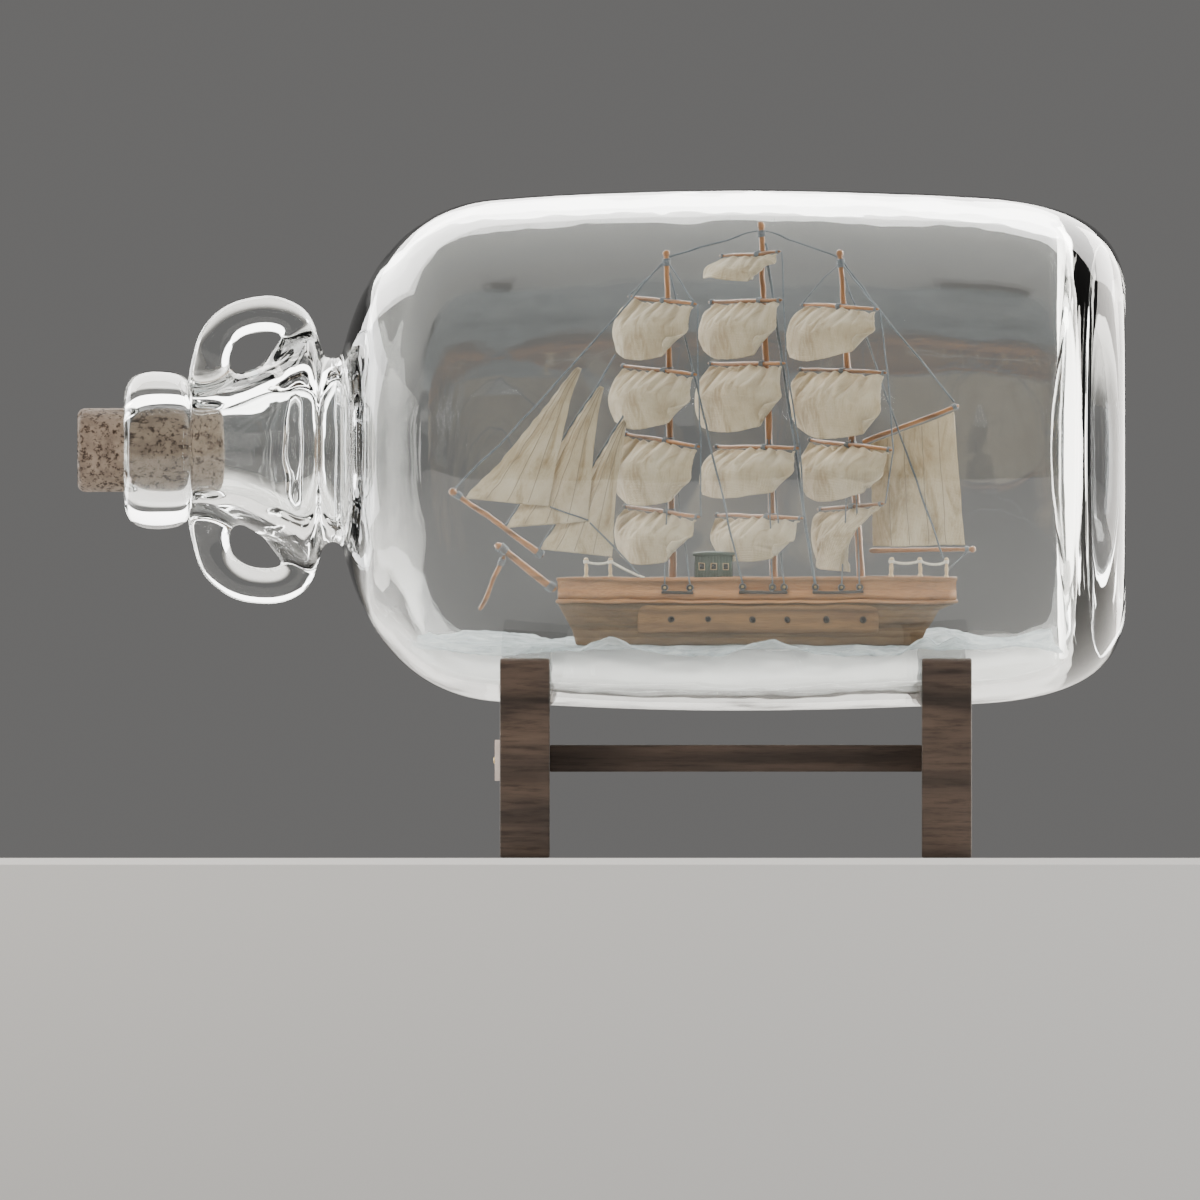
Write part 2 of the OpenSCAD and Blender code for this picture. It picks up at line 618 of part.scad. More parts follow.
// ---- rigging: thread, drawn taut ----
module head_stays() {
    fore_top = fore[1] - [1.2, 0, 3];
    color([0.36, 0.4, 0.45]) at_ship() union() {
        rope([fore_top, [-45, 0, 93], boom_tip + [0.6, 0, 0.8]]);
        rope([[-41.5, 0, 85.5], [-46.4, 0, 77.6], [-75.2, 0, 33.4]]);
        rope([[-39.2, 0, 67.4], [-64.9, 0, 27]]);
    }
}
module mast_stays() {
    color([0.36, 0.4, 0.45]) at_ship() union() {
        rope([main[1] - [0.9, 0, 1.6], fore[1] + [1, 0, -1]]);
        rope([main[1] - [-0.9, 0, 1.6], mizzen[1] + [-1, 0, -1]]);
        rope([mizzen[1] + [0.8, 0, -2], [38.2, 0, 98.6], [60.4, 0, 71.4]]);
    }
}
eye_z = 16.9;
module shrouds() {
    color([0.36, 0.4, 0.45]) at_ship() for (s = [-1, 1]) {
        for (p = [[fore, -27, -19.5], [main, 5.5, 9], [mizzen, 26.5, 32]]) for (i = [1, 2])
            rope([[mast_x(p[0], 60) + (i - 1.5), s * 1.3, 60], [p[i], s * eye_y, eye_z]], 0.22);
    }
}
module backstays() {
    color([0.36, 0.4, 0.45]) at_ship() for (s = [-1, 1]) {
        rope([[-25.4, s * 1.1, 110], [-3.5, s * eye_y, eye_z]]);
        rope([[3.4, s * 1.1, 119], [18.5, s * eye_y, eye_z]], 0.42);
        rope([[27.5, s * 1.1, 109], [57, s * (side_y(57) - 0.2), 24.4]]);
    }
}
module lifts(m, y) {
    top = m[1] - [0, 0, 3.4];
    rope([top + [-0.9, 0.4, 0], far_end(m, y) + [0.8, -0.8, 0.7]], 0.22);
    rope([top + [0.9, -0.4, 0], near_end(m, y) + [-0.8, 0.8, 0.7]], 0.22);
}
module yard_lifts() {
    color([0.36, 0.4, 0.45]) at_ship() union() {
        lifts(fore, fore_yard[0]);
        lifts(mizzen, mizzen_yard[0]);
        for (p = [[fore, fore_yard], [main, main_yard], [mizzen, mizzen_yard]])
            bent_rope([for (y = p[1]) near_end(p[0], y) + [0.4, -0.4, 0]], 0.22, [1, 1, 0]);
    }
}
module sheets() {
    color([0.36, 0.4, 0.45]) at_ship() union() {
        rope([jib_clew[1] + [0.4, -0.6, -0.3], [-34.5, -8.4, top_z + 1]], 0.24);
        rope([jib_clew[0] + [0.4, -0.6, 0], jib_clew[1] + [0, -0.6, 0.4]], 0.22);
        rope([boom_end - [2, 0, 0.8], [58, 0, 20.5]], 0.24);
    }
}

// ---- sea: one crumpled sheet, cut to lie inside the glass, flat where the hull is glued to it ----
sea_depth = axis_z - ship_at[2] + 3.5 * ship_k;
shoulder_line = [for (p = inner_line) if (p[0] > 70 && p[0] < shoulder_at && p[1] > 45) [p[1], p[0]]];
sea_x0 = mouth_x + lookup(sea_depth + 1, shoulder_line);
sea_x1 = mouth_x + jug_len - 19.5;
// Height of the sheet at the near glass, in the ship frame: [x, z]
near_crest = [[-108, 2], [-90, -0.5], [-76, -1.6], [-52, -1.6], [-43.5, 3], [-36, 0.5], [-22, -2],
              [-10, -3], [6, 1.8], [18, -1], [32, -2.2], [43.5, -2.4], [51.5, 2.4], [55, 0.6], [60, 3],
              [69, 0.6], [80, 1.6], [92, -1.5]];
far_crest = [[-108, 0], [-80, 2], [-62, -1.5], [-40, 1], [-20, 3], [0, -2], [22, 1.5], [40, -1],
             [58, 2.5], [75, -1], [92, 1]];
function smooth(t) = t <= 0 ? 0 : t >= 1 ? 1 : t * t * (3 - 2 * t);
function sea_z(x, v) =
    let (s = (x - ship_at[0]) / ship_k,
         edge = (v < 0 ? lookup(s, near_crest) : lookup(s, far_crest)) * smooth((abs(v) - 0.3) / 0.7),
         ripple = 0.7 * sin(x * 7 + v * 200) * sin(abs(v) * 180 - 20) * smooth((abs(v) - 0.25) / 0.3),
         bed = (bottom_z - 0.1) * ship_k - sea_t / 2)
    ship_at[2] + bed + (edge - bed * 0.8 * smooth((abs(v) - 0.3) / 0.7) + ripple) * ship_k;
function sea_y(x, v, z) = v * (sqrt(pow(glass_in(x), 2) - pow(axis_z - z, 2)) - sea_gap);
module sea_sheet() {
    nu = 44;
    nv = 14;
    lay = [for (j = [0:nv]) for (i = [0:nu])
        let (x = sea_x0 + (sea_x1 - sea_x0) * i / nu, v = 2 * j / nv - 1, z = sea_z(x, v))
        [x, sea_y(x, v, z - sea_t), z]];
    color([0.72, 0.78, 0.8, 0.6]) slab([for (p = lay) p - [0, 0, sea_t / 2]],
        [for (p = lay) p + [0, 0, sea_t / 2]], nu, nv);
}

jug_neck();
jug_shoulder();
jug_body();
jug_base();
upper_ear_handle();
lower_ear_handle();
cork();
left_cradle_board();
right_cradle_board();
stretcher();
name_plaque();
plaque_pins();
sea_sheet();
lower_hull();
upper_strake();
rubbing_strake();
side_panels();
deck();
deck_house();
portholes();
bow_rail_posts();
stern_rail_posts();
rail_ropes();
channels();
deadeyes();
fore_mast();
main_mast();
mizzen_mast();
bowsprit();
jib_boom();
martingale();
gaff();
spanker_boom();
fore_yards();
main_yards();
mizzen_yards();
lashings();
fore_royal();
fore_topgallant();
fore_topsail();
fore_course();
main_skysail();
main_royal();
main_topgallant();
main_topsail();
main_course();
mizzen_royal();
mizzen_topgallant();
mizzen_topsail();
crossjack();
flying_jib();
outer_jib();
inner_jib();
spanker();
head_stays();
mast_stays();
shrouds();
backstays();
yard_lifts();
sheets();
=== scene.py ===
import math

import bmesh
import bpy
import numpy as np
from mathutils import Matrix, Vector, noise


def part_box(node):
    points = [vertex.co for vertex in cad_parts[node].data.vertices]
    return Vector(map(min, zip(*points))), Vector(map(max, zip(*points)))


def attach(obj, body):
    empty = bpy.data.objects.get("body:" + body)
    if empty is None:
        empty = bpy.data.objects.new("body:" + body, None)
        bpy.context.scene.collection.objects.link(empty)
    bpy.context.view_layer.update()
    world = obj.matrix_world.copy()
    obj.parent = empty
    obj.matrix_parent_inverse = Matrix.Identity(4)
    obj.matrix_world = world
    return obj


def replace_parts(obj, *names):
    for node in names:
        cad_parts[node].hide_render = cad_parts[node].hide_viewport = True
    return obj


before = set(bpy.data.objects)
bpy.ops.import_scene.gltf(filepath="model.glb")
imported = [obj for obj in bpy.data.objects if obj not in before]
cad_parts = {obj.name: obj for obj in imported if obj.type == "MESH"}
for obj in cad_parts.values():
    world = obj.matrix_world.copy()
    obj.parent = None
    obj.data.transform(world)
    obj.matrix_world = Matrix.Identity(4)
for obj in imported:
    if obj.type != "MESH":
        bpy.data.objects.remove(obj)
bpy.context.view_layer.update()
MM = 0.001

# ---------------------------------------------------------------- places taken from the frame
neck_lo, _ = (Vector(c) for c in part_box("jug_neck"))
body_lo, body_hi = (Vector(c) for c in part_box("jug_body"))
_, base_hi = (Vector(c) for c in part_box("jug_base"))
MOUTH_X = neck_lo.x
AXIS_Z = (body_lo.z + body_hi.z) / 2
JUG_R = (body_hi.z - body_lo.z) / 2 / MM
JUG_LEN = (base_hi.x - neck_lo.x) / MM
strake_lo, strake_hi = (Vector(c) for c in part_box("upper_strake"))
BOW_X, STERN_X, STRAKE_Z = -59.0, 61.0, 11.1
SHIP_K = (strake_hi.x - strake_lo.x) / (STERN_X - BOW_X)
SHIP_AT = Vector((strake_lo.x - BOW_X * SHIP_K, 0, strake_lo.z - STRAKE_Z * SHIP_K))
BEAM = strake_hi.y / SHIP_K


def ship(p):
    """A point of the ship's own frame (mm, z up from the water line) in metres."""
    return SHIP_AT + SHIP_K * Vector(p)


# ---------------------------------------------------------------- small tools
def bez(p, t):
    s = 1 - t
    return [s ** 3 * a + 3 * t * s * s * b + 3 * t * t * s * c + t ** 3 * d for a, b, c, d in zip(*p)]


def curve(p, n):
    return [bez(p, i / n) for i in range(1, n + 1)]


def smooth_step(t):
    t = min(max(t, 0.0), 1.0)
    return t * t * (3 - 2 * t)


def lookup(x, table):
    if x <= table[0][0]:
        return table[0][1]
    for (x0, y0), (x1, y1) in zip(table, table[1:]):
        if x <= x1:
            return y0 + (y1 - y0) * (x - x0) / (x1 - x0)
    return table[-1][1]


def wobble(p, size, seed=0.0):
    """Smooth noise between -1 and 1 at a point, with features of the given size."""
    return noise.noise(Vector(p) / size + Vector((seed, seed * 1.7, -seed)))


def add_object(name, mesh, body, mat, smooth=True):
    obj = bpy.data.objects.new(name, mesh)
    bpy.context.scene.collection.objects.link(obj)
    mesh.materials.clear()
    mesh.materials.append(mat)
    if smooth:
        mesh.shade_smooth()
    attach(obj, body)
    return obj


def mesh_from(name, verts, faces):
    mesh = bpy.data.meshes.new(name)
    mesh.from_pydata([tuple(v) for v in verts], [], faces)
    mesh.update()
    return mesh


def outward(mesh):
    bm = bmesh.new()
    bm.from_mesh(mesh)
    bmesh.ops.recalc_face_normals(bm, faces=bm.faces)
    bm.to_mesh(mesh)
    bm.free()
    return mesh


def ring_faces(rings, sides):
    """Quads between rings of points that follow one another."""
    turn = [(k, (k + 1) % sides) for k in range(sides)]
    return [[j + a, j + b, j + sides + b, j + sides + a]
            for j in range(0, (rings - 1) * sides, sides) for a, b in turn]


def lids(rings, sides):
    return [list(range(sides))[::-1], [(rings - 1) * sides + k for k in range(sides)]]


def grid_faces(nu, nv):
    w = nu + 1
    return [[j + i, j + i + 1, j + w + i + 1, j + w + i] for j in range(0, nv * w, w) for i in range(nu)]


def grid_rim(nu, nv):
    """Pairs of neighbours once round the edge of a grid."""
    w = nu + 1
    rim = [i for i in range(nu)] + [nu + j * w for j in range(nv)]
    rim += [nv * w + i for i in range(nu, 0, -1)] + [j * w for j in range(nv, 0, -1)]
    return list(zip(rim, rim[1:] + rim[:1]))


def apply_modifiers(obj):
    """Bakes the object's modifiers into its mesh."""
    graph = bpy.context.evaluated_depsgraph_get()
    baked = bpy.data.meshes.new_from_object(obj.evaluated_get(graph))
    obj.modifiers.clear()
    obj.data = baked


def modifier(obj, kind, **values):
    mod = obj.modifiers.new(kind.lower(), kind)
    for key, value in values.items():
        setattr(mod, key, value)
    return mod


def frames_along(points, start=None):
    """Tangent, side and up at each point of a path, turning as little as possible."""
    pts = [Vector(p) for p in points]
    last = len(pts) - 1
    tangents = [(pts[min(i + 1, last)] - pts[max(i - 1, 0)]).normalized() for i in range(last + 1)]
    ref = start or (Vector((0, 1, 0)) if abs(tangents[0].y) < 0.9 else Vector((1, 0, 0)))
    side = (ref - tangents[0] * ref.dot(tangents[0])).normalized()
    out = []
    for t in tangents:
        side = (side - t * side.dot(t)).normalized()
        out.append((t, side, t.cross(side)))
    return out


class Soup:
    """Collects several closed shapes into one mesh."""

    def __init__(self):
        self.verts = []
        self.faces = []

    def add(self, verts, faces):
        base = len(self.verts)
        self.verts.extend(tuple(v) for v in verts)
        self.faces.extend([base + i for i in f] for f in faces)

    def tube(self, points, radius, sides=10, lobes=0, twist=0.0):
        """A tube along the points. radius is a number or a function of (share, angle)."""
        n = len(points)
        verts = []
        travelled = 0.0
        for i, (p, (_, side, up)) in enumerate(zip(points, frames_along(points))):
            p = Vector(p)
            if i:
                travelled += (p - Vector(points[i - 1])).length
            for k in range(sides):
                a = 2 * math.pi * k / sides
                r = radius(i / (n - 1), a) if callable(radius) else radius
                if lobes:
                    r *= 0.84 + 0.16 * abs(math.cos(lobes / 2 * (a - travelled * twist)))
                verts.append(p + side * (r * math.cos(a)) + up * (r * math.sin(a)))
        self.add(verts, ring_faces(n, sides) + lids(n, sides))

    def turned(self, at, axis, profile, sides=20):
        """A turned shape: profile is [distance along the axis, radius] from end to end."""
        axis = Vector(axis).normalized()
        side = axis.orthogonal().normalized()
        up = axis.cross(side)
        verts = []
        for d, r in profile:
            for k in range(sides):
                a = 2 * math.pi * k / sides
                verts.append(Vector(at) + axis * d + (side * math.cos(a) + up * math.sin(a)) * max(r, 1e-6))
        self.add(verts, ring_faces(len(profile), sides) + lids(len(profile), sides))

    def block(self, lo, hi, bevel):
        """A box with its edges cut back, given by two corners."""
        xs, ys, zs = zip(lo, hi)
        verts = []
        for ix in (0, 1):
            for iy in (0, 1):
                for iz in (0, 1):
                    c = Vector((xs[ix], ys[iy], zs[iz]))
                    inward = [bevel if not s else -bevel for s in (ix, iy, iz)]
                    for axis in range(3):
                        p = c.copy()
                        for other in range(3):
                            if other != axis:
                                p[other] += inward[other]
                        verts.append(p)
        bm = bmesh.new()
        for v in verts:
            bm.verts.new(v)
        bmesh.ops.convex_hull(bm, input=bm.verts)
        bm.verts.index_update()
        self.add([v.co.copy() for v in bm.verts], [[v.index for v in f.verts] for f in bm.faces])
        bm.free()

    def on_ship(self, name, mat, slot, node=None, tidy_normals=False):
        """Makes the piece from points in the ship's frame; it stands for a CAD node where one is named."""
        mesh = mesh_from(name, [ship(v) for v in self.verts], self.faces)
        obj = add_object(name, outward(mesh) if tidy_normals else mesh, "jug", mat)
        if node:
            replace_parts(obj, node)
        return obj


# ---------------------------------------------------------------- materials
class Nodes:
    """Builds one material's nodes with short calls."""

    def __init__(self, name):
        self.mat = bpy.data.materials.new(name)
        self.mat.use_nodes = True
        self.tree = self.mat.node_tree
        self.shader = self.tree.nodes["Principled BSDF"]
        self.out = self.tree.nodes["Material Output"]

    def node(self, kind, inputs=None, **settings):
        n = self.tree.nodes.new("ShaderNode" + kind)
        for key, value in settings.items():
            setattr(n, key, value)
        for key, value in (inputs or {}).items():
            self.feed(n.inputs[key], value)
        return n

    def feed(self, socket, value):
        if isinstance(value, bpy.types.NodeSocket):
            self.tree.links.new(value, socket)
        else:
            socket.default_value = value

    def set(self, **values):
        for key, value in values.items():
            self.feed(self.shader.inputs[key.replace("_", " ")], value)
        return self

    def coords(self, scale=(1, 1, 1), kind="Object"):
        tex = self.node("TexCoord")
        return self.node("Mapping", {"Vector": tex.outputs[kind], "Scale": scale}).outputs["Vector"]

    def noise(self, vector, scale, detail=4.0, rough=0.55, distortion=0.0):
        n = self.node("TexNoise", {"Vector": vector, "Scale": scale, "Detail": detail, "Roughness": rough,
                                   "Distortion": distortion})
        return n.outputs["Fac"]

    def ramp(self, fac, stops):
        n = self.node("ValToRGB", {"Fac": fac})
        while len(n.color_ramp.elements) < len(stops):
            n.color_ramp.elements.new(0.5)
        for e, (pos, col) in zip(n.color_ramp.elements, stops):
            e.position = pos
            e.color = (*col, 1) if len(col) == 3 else col
        return n.outputs["Color"]

    def mix(self, fac, a, b, blend="MIX"):
        return self.node("Mix", {0: fac, 6: a, 7: b}, data_type="RGBA", blend_type=blend).outputs[2]

    def math(self, op, a, b):
        return self.node("Math", {0: a, 1: b}, operation=op).outputs[0]

    def weighted(self, a, share, b, other):
        """Two heights added, each times its share."""
        return self.math("ADD", self.math("MULTIPLY", a, share), self.math("MULTIPLY", b, other))

    def scaled(self, value, lo, hi):
        return self.node("MapRange", {"Value": value, "To Min": lo, "To Max": hi}).outputs[0]

    def bump(self, height, distance, strength):
        n = self.node("Bump", {"Height": height, "Distance": distance, "Strength": strength})
        return n.outputs["Normal"]

    def shaders(self, fac, first, second):
        """A mix of two shaders' outputs."""
        n = self.node("MixShader", {"Fac": fac})
        self.tree.links.new(first, n.inputs[1])
        self.tree.links.new(second, n.inputs[2])
        return n.outputs[0]

    def finish_with(self, surface):
        self.tree.links.new(surface, self.out.inputs["Surface"])
        return self.mat


def grey(v):
    return (v, v, v)


def wood_material(name, light, dark, along, lines=700.0, rough=(0.42, 0.62), pores=0.5, coat=0.0):
    """Wood; along: how far the grain draws out each axis, lines: how many there are to a metre."""
    m = Nodes(name)
    base = m.coords(tuple(along))
    drift = m.noise(base, 45.0, 3.0)
    figure = m.noise(base, lines * 0.35, 5.0, 0.6, 0.8)
    wave = m.node("TexWave", {"Vector": base, "Scale": lines / 20, "Distortion": 3.2, "Detail": 3.0,
                              "Detail Scale": 1.4, "Detail Roughness": 0.6},
                  wave_type="BANDS", bands_direction="Z")
    fibre = m.noise(base, lines * 3.2, 4.0, 0.7)
    middle = [0.5 * (a + b) for a, b in zip(light, dark)]
    tone = m.ramp(figure, [(0.30, dark), (0.48, middle), (0.72, light)])
    tone = m.mix(m.scaled(drift, 0.0, 0.5), tone, (*dark, 1))
    line = m.ramp(wave.outputs["Fac"], [(0.0, grey(0.42)), (0.22, grey(0.95)), (1.0, grey(1.0))])
    tone = m.mix(0.75, tone, line, "MULTIPLY")
    streak = m.ramp(fibre, [(0.34, grey(1 - pores)), (0.50, grey(1.0)), (0.8, grey(1.25))])
    m.set(Base_Color=m.mix(1.0, tone, streak, "MULTIPLY"), Roughness=m.scaled(fibre, rough[1], rough[0]),
          Coat_Weight=coat, Coat_Roughness=0.25)
    height = m.weighted(fibre, 0.6, figure, 0.4)
    m.set(Normal=m.bump(height, 0.00012, 0.7))
    return m.mat


def glass_material():
    """Clear glass that lets lamps through to what it holds."""
    m = Nodes("clear_glass")
    m.set(Base_Color=(0.975, 0.99, 0.985, 1), Roughness=0.0, IOR=1.49, Transmission_Weight=1.0)
    waves = m.noise(m.coords(), 38.0, 2.0, 0.4)
    m.set(Normal=m.bump(waves, 0.0006, 0.5))
    path = m.node("LightPath")
    clear = m.node("BsdfTransparent", {"Color": (0.93, 0.95, 0.94, 1)})
    return m.finish_with(m.shaders(path.outputs["Is Shadow Ray"], m.shader.outputs[0], clear.outputs[0]))


def cork_material():
    m = Nodes("natural_cork")
    at = m.coords()
    cells = m.node("TexVoronoi", {"Vector": at, "Scale": 620.0, "Randomness": 1.0}).outputs["Distance"]
    blotch = m.noise(at, 160.0, 5.0, 0.65)
    speck = m.noise(at, 620.0, 4.0, 0.75)
    base = m.ramp(blotch, [(0.25, (0.105, 0.078, 0.06)), (0.5, (0.19, 0.145, 0.112)),
                           (0.8, (0.28, 0.22, 0.17))])
    pits = m.ramp(speck, [(0.40, (0.16, 0.12, 0.10)), (0.49, grey(1.0)), (1.0, grey(1.15))])
    m.set(Base_Color=m.mix(1.0, base, pits, "MULTIPLY"), Roughness=m.scaled(blotch, 0.95, 0.75))
    height = m.weighted(speck, 0.8, cells, 0.35)
    m.set(Normal=m.bump(height, 0.0006, 0.9))
    return m.mat


def cloth_material():
    """Unbleached cotton: threads by the cut's own measures, stains, and a little light through."""
    m = Nodes("sail_cotton")
    uv = m.coords(kind="UV")
    threads = []
    for direction in ("X", "Y"):
        w = m.node("TexWave", {"Vector": uv, "Scale": 0.72, "Distortion": 0.5, "Detail": 1.0,
                                 "Detail Scale": 0.6},
                   wave_type="BANDS", bands_direction=direction)
        threads.append(w.outputs["Fac"])
    weave = m.math("MULTIPLY", threads[0], threads[1])
    at = m.coords()
    blotch = m.noise(at, 95.0, 5.0, 0.6)
    slub = m.noise(m.coords((1.5, 0.22, 1.0), kind="UV"), 1.0, 4.0, 0.65)
    stain = m.noise(m.coords((0.16, 0.05, 1.0), kind="UV"), 1.0, 5.0, 0.7, 0.6)
    base = m.ramp(blotch, [(0.25, (0.47, 0.385, 0.265)), (0.5, (0.64, 0.56, 0.43)),
                           (0.75, (0.75, 0.69, 0.57))])
    shade = m.mix(m.scaled(weave, 0.30, 0.0), base, (0.30, 0.25, 0.18, 1))
    shade = m.mix(m.scaled(slub, 0.34, 0.0), shade, (0.36, 0.28, 0.18, 1))
    shade = m.mix(1.0, shade, m.ramp(stain, [(0.34, (0.62, 0.55, 0.44)), (0.5, (0.95, 0.93, 0.89)),
                                             (0.62, grey(1.0))]), "MULTIPLY")
    m.set(Base_Color=shade, Roughness=0.92, Sheen_Weight=0.25, Sheen_Roughness=0.5)
    height = m.weighted(weave, 0.7, slub, 0.5)
    normal = m.bump(height, 0.00018, 0.8)
    m.set(Normal=normal)
    thin = m.node("BsdfTranslucent", {"Color": shade, "Normal": normal})
    return m.finish_with(m.shaders(0.25, m.shader.outputs[0], thin.outputs[0]))


def thread_material(name, light, dark):
    m = Nodes(name)
    at = m.coords()
    fuzz = m.noise(at, 1500.0, 3.0, 0.7)
    patch = m.noise(at, 90.0, 3.0)
    col = m.ramp(fuzz, [(0.3, dark), (0.7, light)])
    m.set(Base_Color=m.mix(m.scaled(patch, 0.0, 0.35), col, (*[1.35 * c for c in light], 1)),
          Roughness=0.85,
          Sheen_Weight=0.3, Normal=m.bump(fuzz, 0.00008, 0.8))
    return m.mat


def sea_material():
    """A thin, crumpled, half-clear sheet, with painted shade in the hollows of its creases and painted light on
    their ridges.
    """
    m = Nodes("sea_film")
    at = m.coords()
    creases = m.noise(at, 120.0, 6.0, 0.75, 0.6)
    # Painted shade and light: the colour follows the crease height that the bump uses, darker in the hollows and
    # lighter on the ridges.
    crease_light_and_shade = m.ramp(creases, [(0.40, (0.34, 0.40, 0.43)), (0.52, (0.58, 0.63, 0.65)),
                             (0.70, (0.84, 0.86, 0.86))])
    m.set(Base_Color=crease_light_and_shade, Roughness=m.scaled(creases, 0.45, 0.22), IOR=1.46,
          Normal=m.bump(creases, 0.0009, 0.9))
    thin = m.node("BsdfTranslucent", {"Color": (0.74, 0.78, 0.80, 1)})
    clear = m.node("BsdfTransparent", {"Color": (0.89, 0.91, 0.92, 1)})
    half = m.shaders(0.35, m.shader.outputs[0], thin.outputs[0])
    return m.finish_with(m.shaders(m.scaled(creases, 0.80, 0.40), half, clear.outputs[0]))


def painted_material(name, colour, worn, rough=0.55):
    m = Nodes(name)
    at = m.coords()
    patch = m.noise(at, 240.0, 5.0, 0.65)
    fine = m.noise(at, 1100.0, 3.0, 0.6)
    m.set(Base_Color=m.ramp(patch, [(0.35, colour), (0.62, [1.15 * c for c in colour]), (0.78, worn)]),
          Roughness=m.scaled(fine, rough - 0.1, rough + 0.15), Normal=m.bump(fine, 0.0001, 0.6))
    return m.mat


def metal_material(name, colour):
    m = Nodes(name)
    at = m.coords()
    patch = m.noise(at, 500.0, 4.0, 0.6)
    m.set(Base_Color=m.ramp(patch, [(0.3, [0.55 * c for c in colour]), (0.6, colour)]), Metallic=1.0,
          Roughness=m.scaled(patch, 0.5, 0.28), Normal=m.bump(patch, 0.00005, 0.5))
    return m.mat


def plaque_material():
    m = Nodes("plaque_plate")
    at = m.coords((1.0, 0.06, 1.0))
    brush = m.noise(at, 2400.0, 3.0, 0.7)
    cloud = m.noise(m.coords(), 120.0, 3.0)
    m.set(Base_Color=m.ramp(cloud, [(0.3, (0.60, 0.50, 0.45)), (0.7, (0.76, 0.67, 0.61))]),
          Roughness=m.scaled(brush, 0.5, 0.34), Normal=m.bump(brush, 0.00004, 0.7))
    return m.mat


GLASS = glass_material()
CORK = cork_material()
BOARD = wood_material("stand_board_wood", (0.105, 0.07, 0.05), (0.022, 0.015, 0.012), (0.10, 0.05, 1.0), 260.0,
                      (0.5, 0.75), 0.45)
# The stretcher's wood is the board wood painted darker: painted shade, for the stretcher sitting back between the
# boards.
SHADED_STRETCHER_WOOD = wood_material("stretcher_wood_painted_shade", (0.085, 0.055, 0.04), (0.022, 0.015, 0.012), (0.06, 0.8, 1.0), 420.0,
                     (0.5, 0.75), 0.45)
LIGHT_WOOD = wood_material("strake_wood", (0.47, 0.235, 0.095), (0.27, 0.12, 0.048), (0.06, 1.0, 1.0), 900.0,
                           (0.35, 0.55), 0.3, 0.2)
# The lower hull's wood has its own darker tone, and part of that darkness is painted shade: it is darker than the
# panel wood where the narrower bow sits back in shadow.
HULL_WOOD_WITH_PAINTED_SHADE = wood_material("lower_hull_wood_painted_shade", (0.175, 0.105, 0.05), (0.075, 0.043, 0.022),
                          (0.06, 1.0, 1.0), 900.0, (0.4, 0.6), 0.35)
PANEL_WOOD = wood_material("panel_wood", (0.27, 0.15, 0.065), (0.125, 0.066, 0.032),
                           (0.05, 1.0, 1.0), 1100.0, (0.4, 0.6), 0.35)
DECK_WOOD = wood_material("deck_wood", (0.42, 0.25, 0.12), (0.20, 0.105, 0.048), (0.05, 1.0, 1.0), 1600.0,
                          (0.45, 0.6), 0.35)
SPAR_WOOD = wood_material("spar_wood", (0.40, 0.185, 0.07), (0.18, 0.078, 0.03), (1.0, 1.0, 0.06), 900.0,
                          (0.32, 0.5), 0.3, 0.25)
BOOM_WOOD = wood_material("boom_wood", (0.40, 0.185, 0.07), (0.18, 0.078, 0.03), (0.08, 0.08, 1.0), 900.0,
                          (0.32, 0.5), 0.3, 0.25)
POST_WOOD = wood_material("post_wood", (0.60, 0.44, 0.26), (0.36, 0.24, 0.12), (1.0, 1.0, 0.1), 1100.0,
                          (0.4, 0.6), 0.3)
HOUSE_PAINT = painted_material("house_paint", (0.045, 0.062, 0.05), (0.13, 0.13, 0.1))
DARK_FITTING = painted_material("dark_fitting", (0.035, 0.028, 0.024), (0.12, 0.09, 0.07), 0.45)
DARK_GLASS = painted_material("porthole_dark", (0.012, 0.012, 0.014), (0.02, 0.02, 0.022), 0.25)
BRASS = metal_material("old_brass", (0.62, 0.45, 0.2))
PLAQUE = plaque_material()
SAILCLOTH = cloth_material()
SEA = sea_material()
THREAD = thread_material("blue_grey_thread", (0.13, 0.15, 0.17), (0.05, 0.057, 0.067))
WHITE_THREAD = thread_material("white_thread", (0.58, 0.55, 0.48), (0.33, 0.30, 0.25))
STITCH = thread_material("seam_thread", (0.26, 0.21, 0.15), (0.14, 0.11, 0.075))

# ---------------------------------------------------------------- camera, lights and stage
def make_camera():
    """Level, square to the jug's side and without perspective, framing 360 mm."""
    cam = bpy.data.cameras.new("camera")
    cam.type = "ORTHO"
    cam.ortho_scale = 0.360
    obj = bpy.data.objects.new("camera", cam)
    obj.location = (-0.00045, -0.9, 0.0774)
    obj.rotation_euler = (math.radians(90), 0, 0)
    bpy.context.scene.collection.objects.link(obj)
    bpy.context.scene.camera = obj


def make_lamp(name, at, aim, size, power, colour=(1, 1, 1), mirrored=True):
    """An area lamp; the glass doesn't mirror the front ones, so that they don't hide the ship."""
    lamp = bpy.data.lights.new(name, "AREA")
    lamp.shape = "RECTANGLE"
    lamp.size, lamp.size_y = size
    lamp.energy = power
    lamp.color = colour
    obj = bpy.data.objects.new(name, lamp)
    obj.location = at
    obj.rotation_euler = (Vector(aim) - Vector(at)).to_track_quat("-Z", "Y").to_euler()
    obj.visible_camera = False
    obj.visible_glossy = obj.visible_transmission = mirrored
    bpy.context.scene.collection.objects.link(obj)


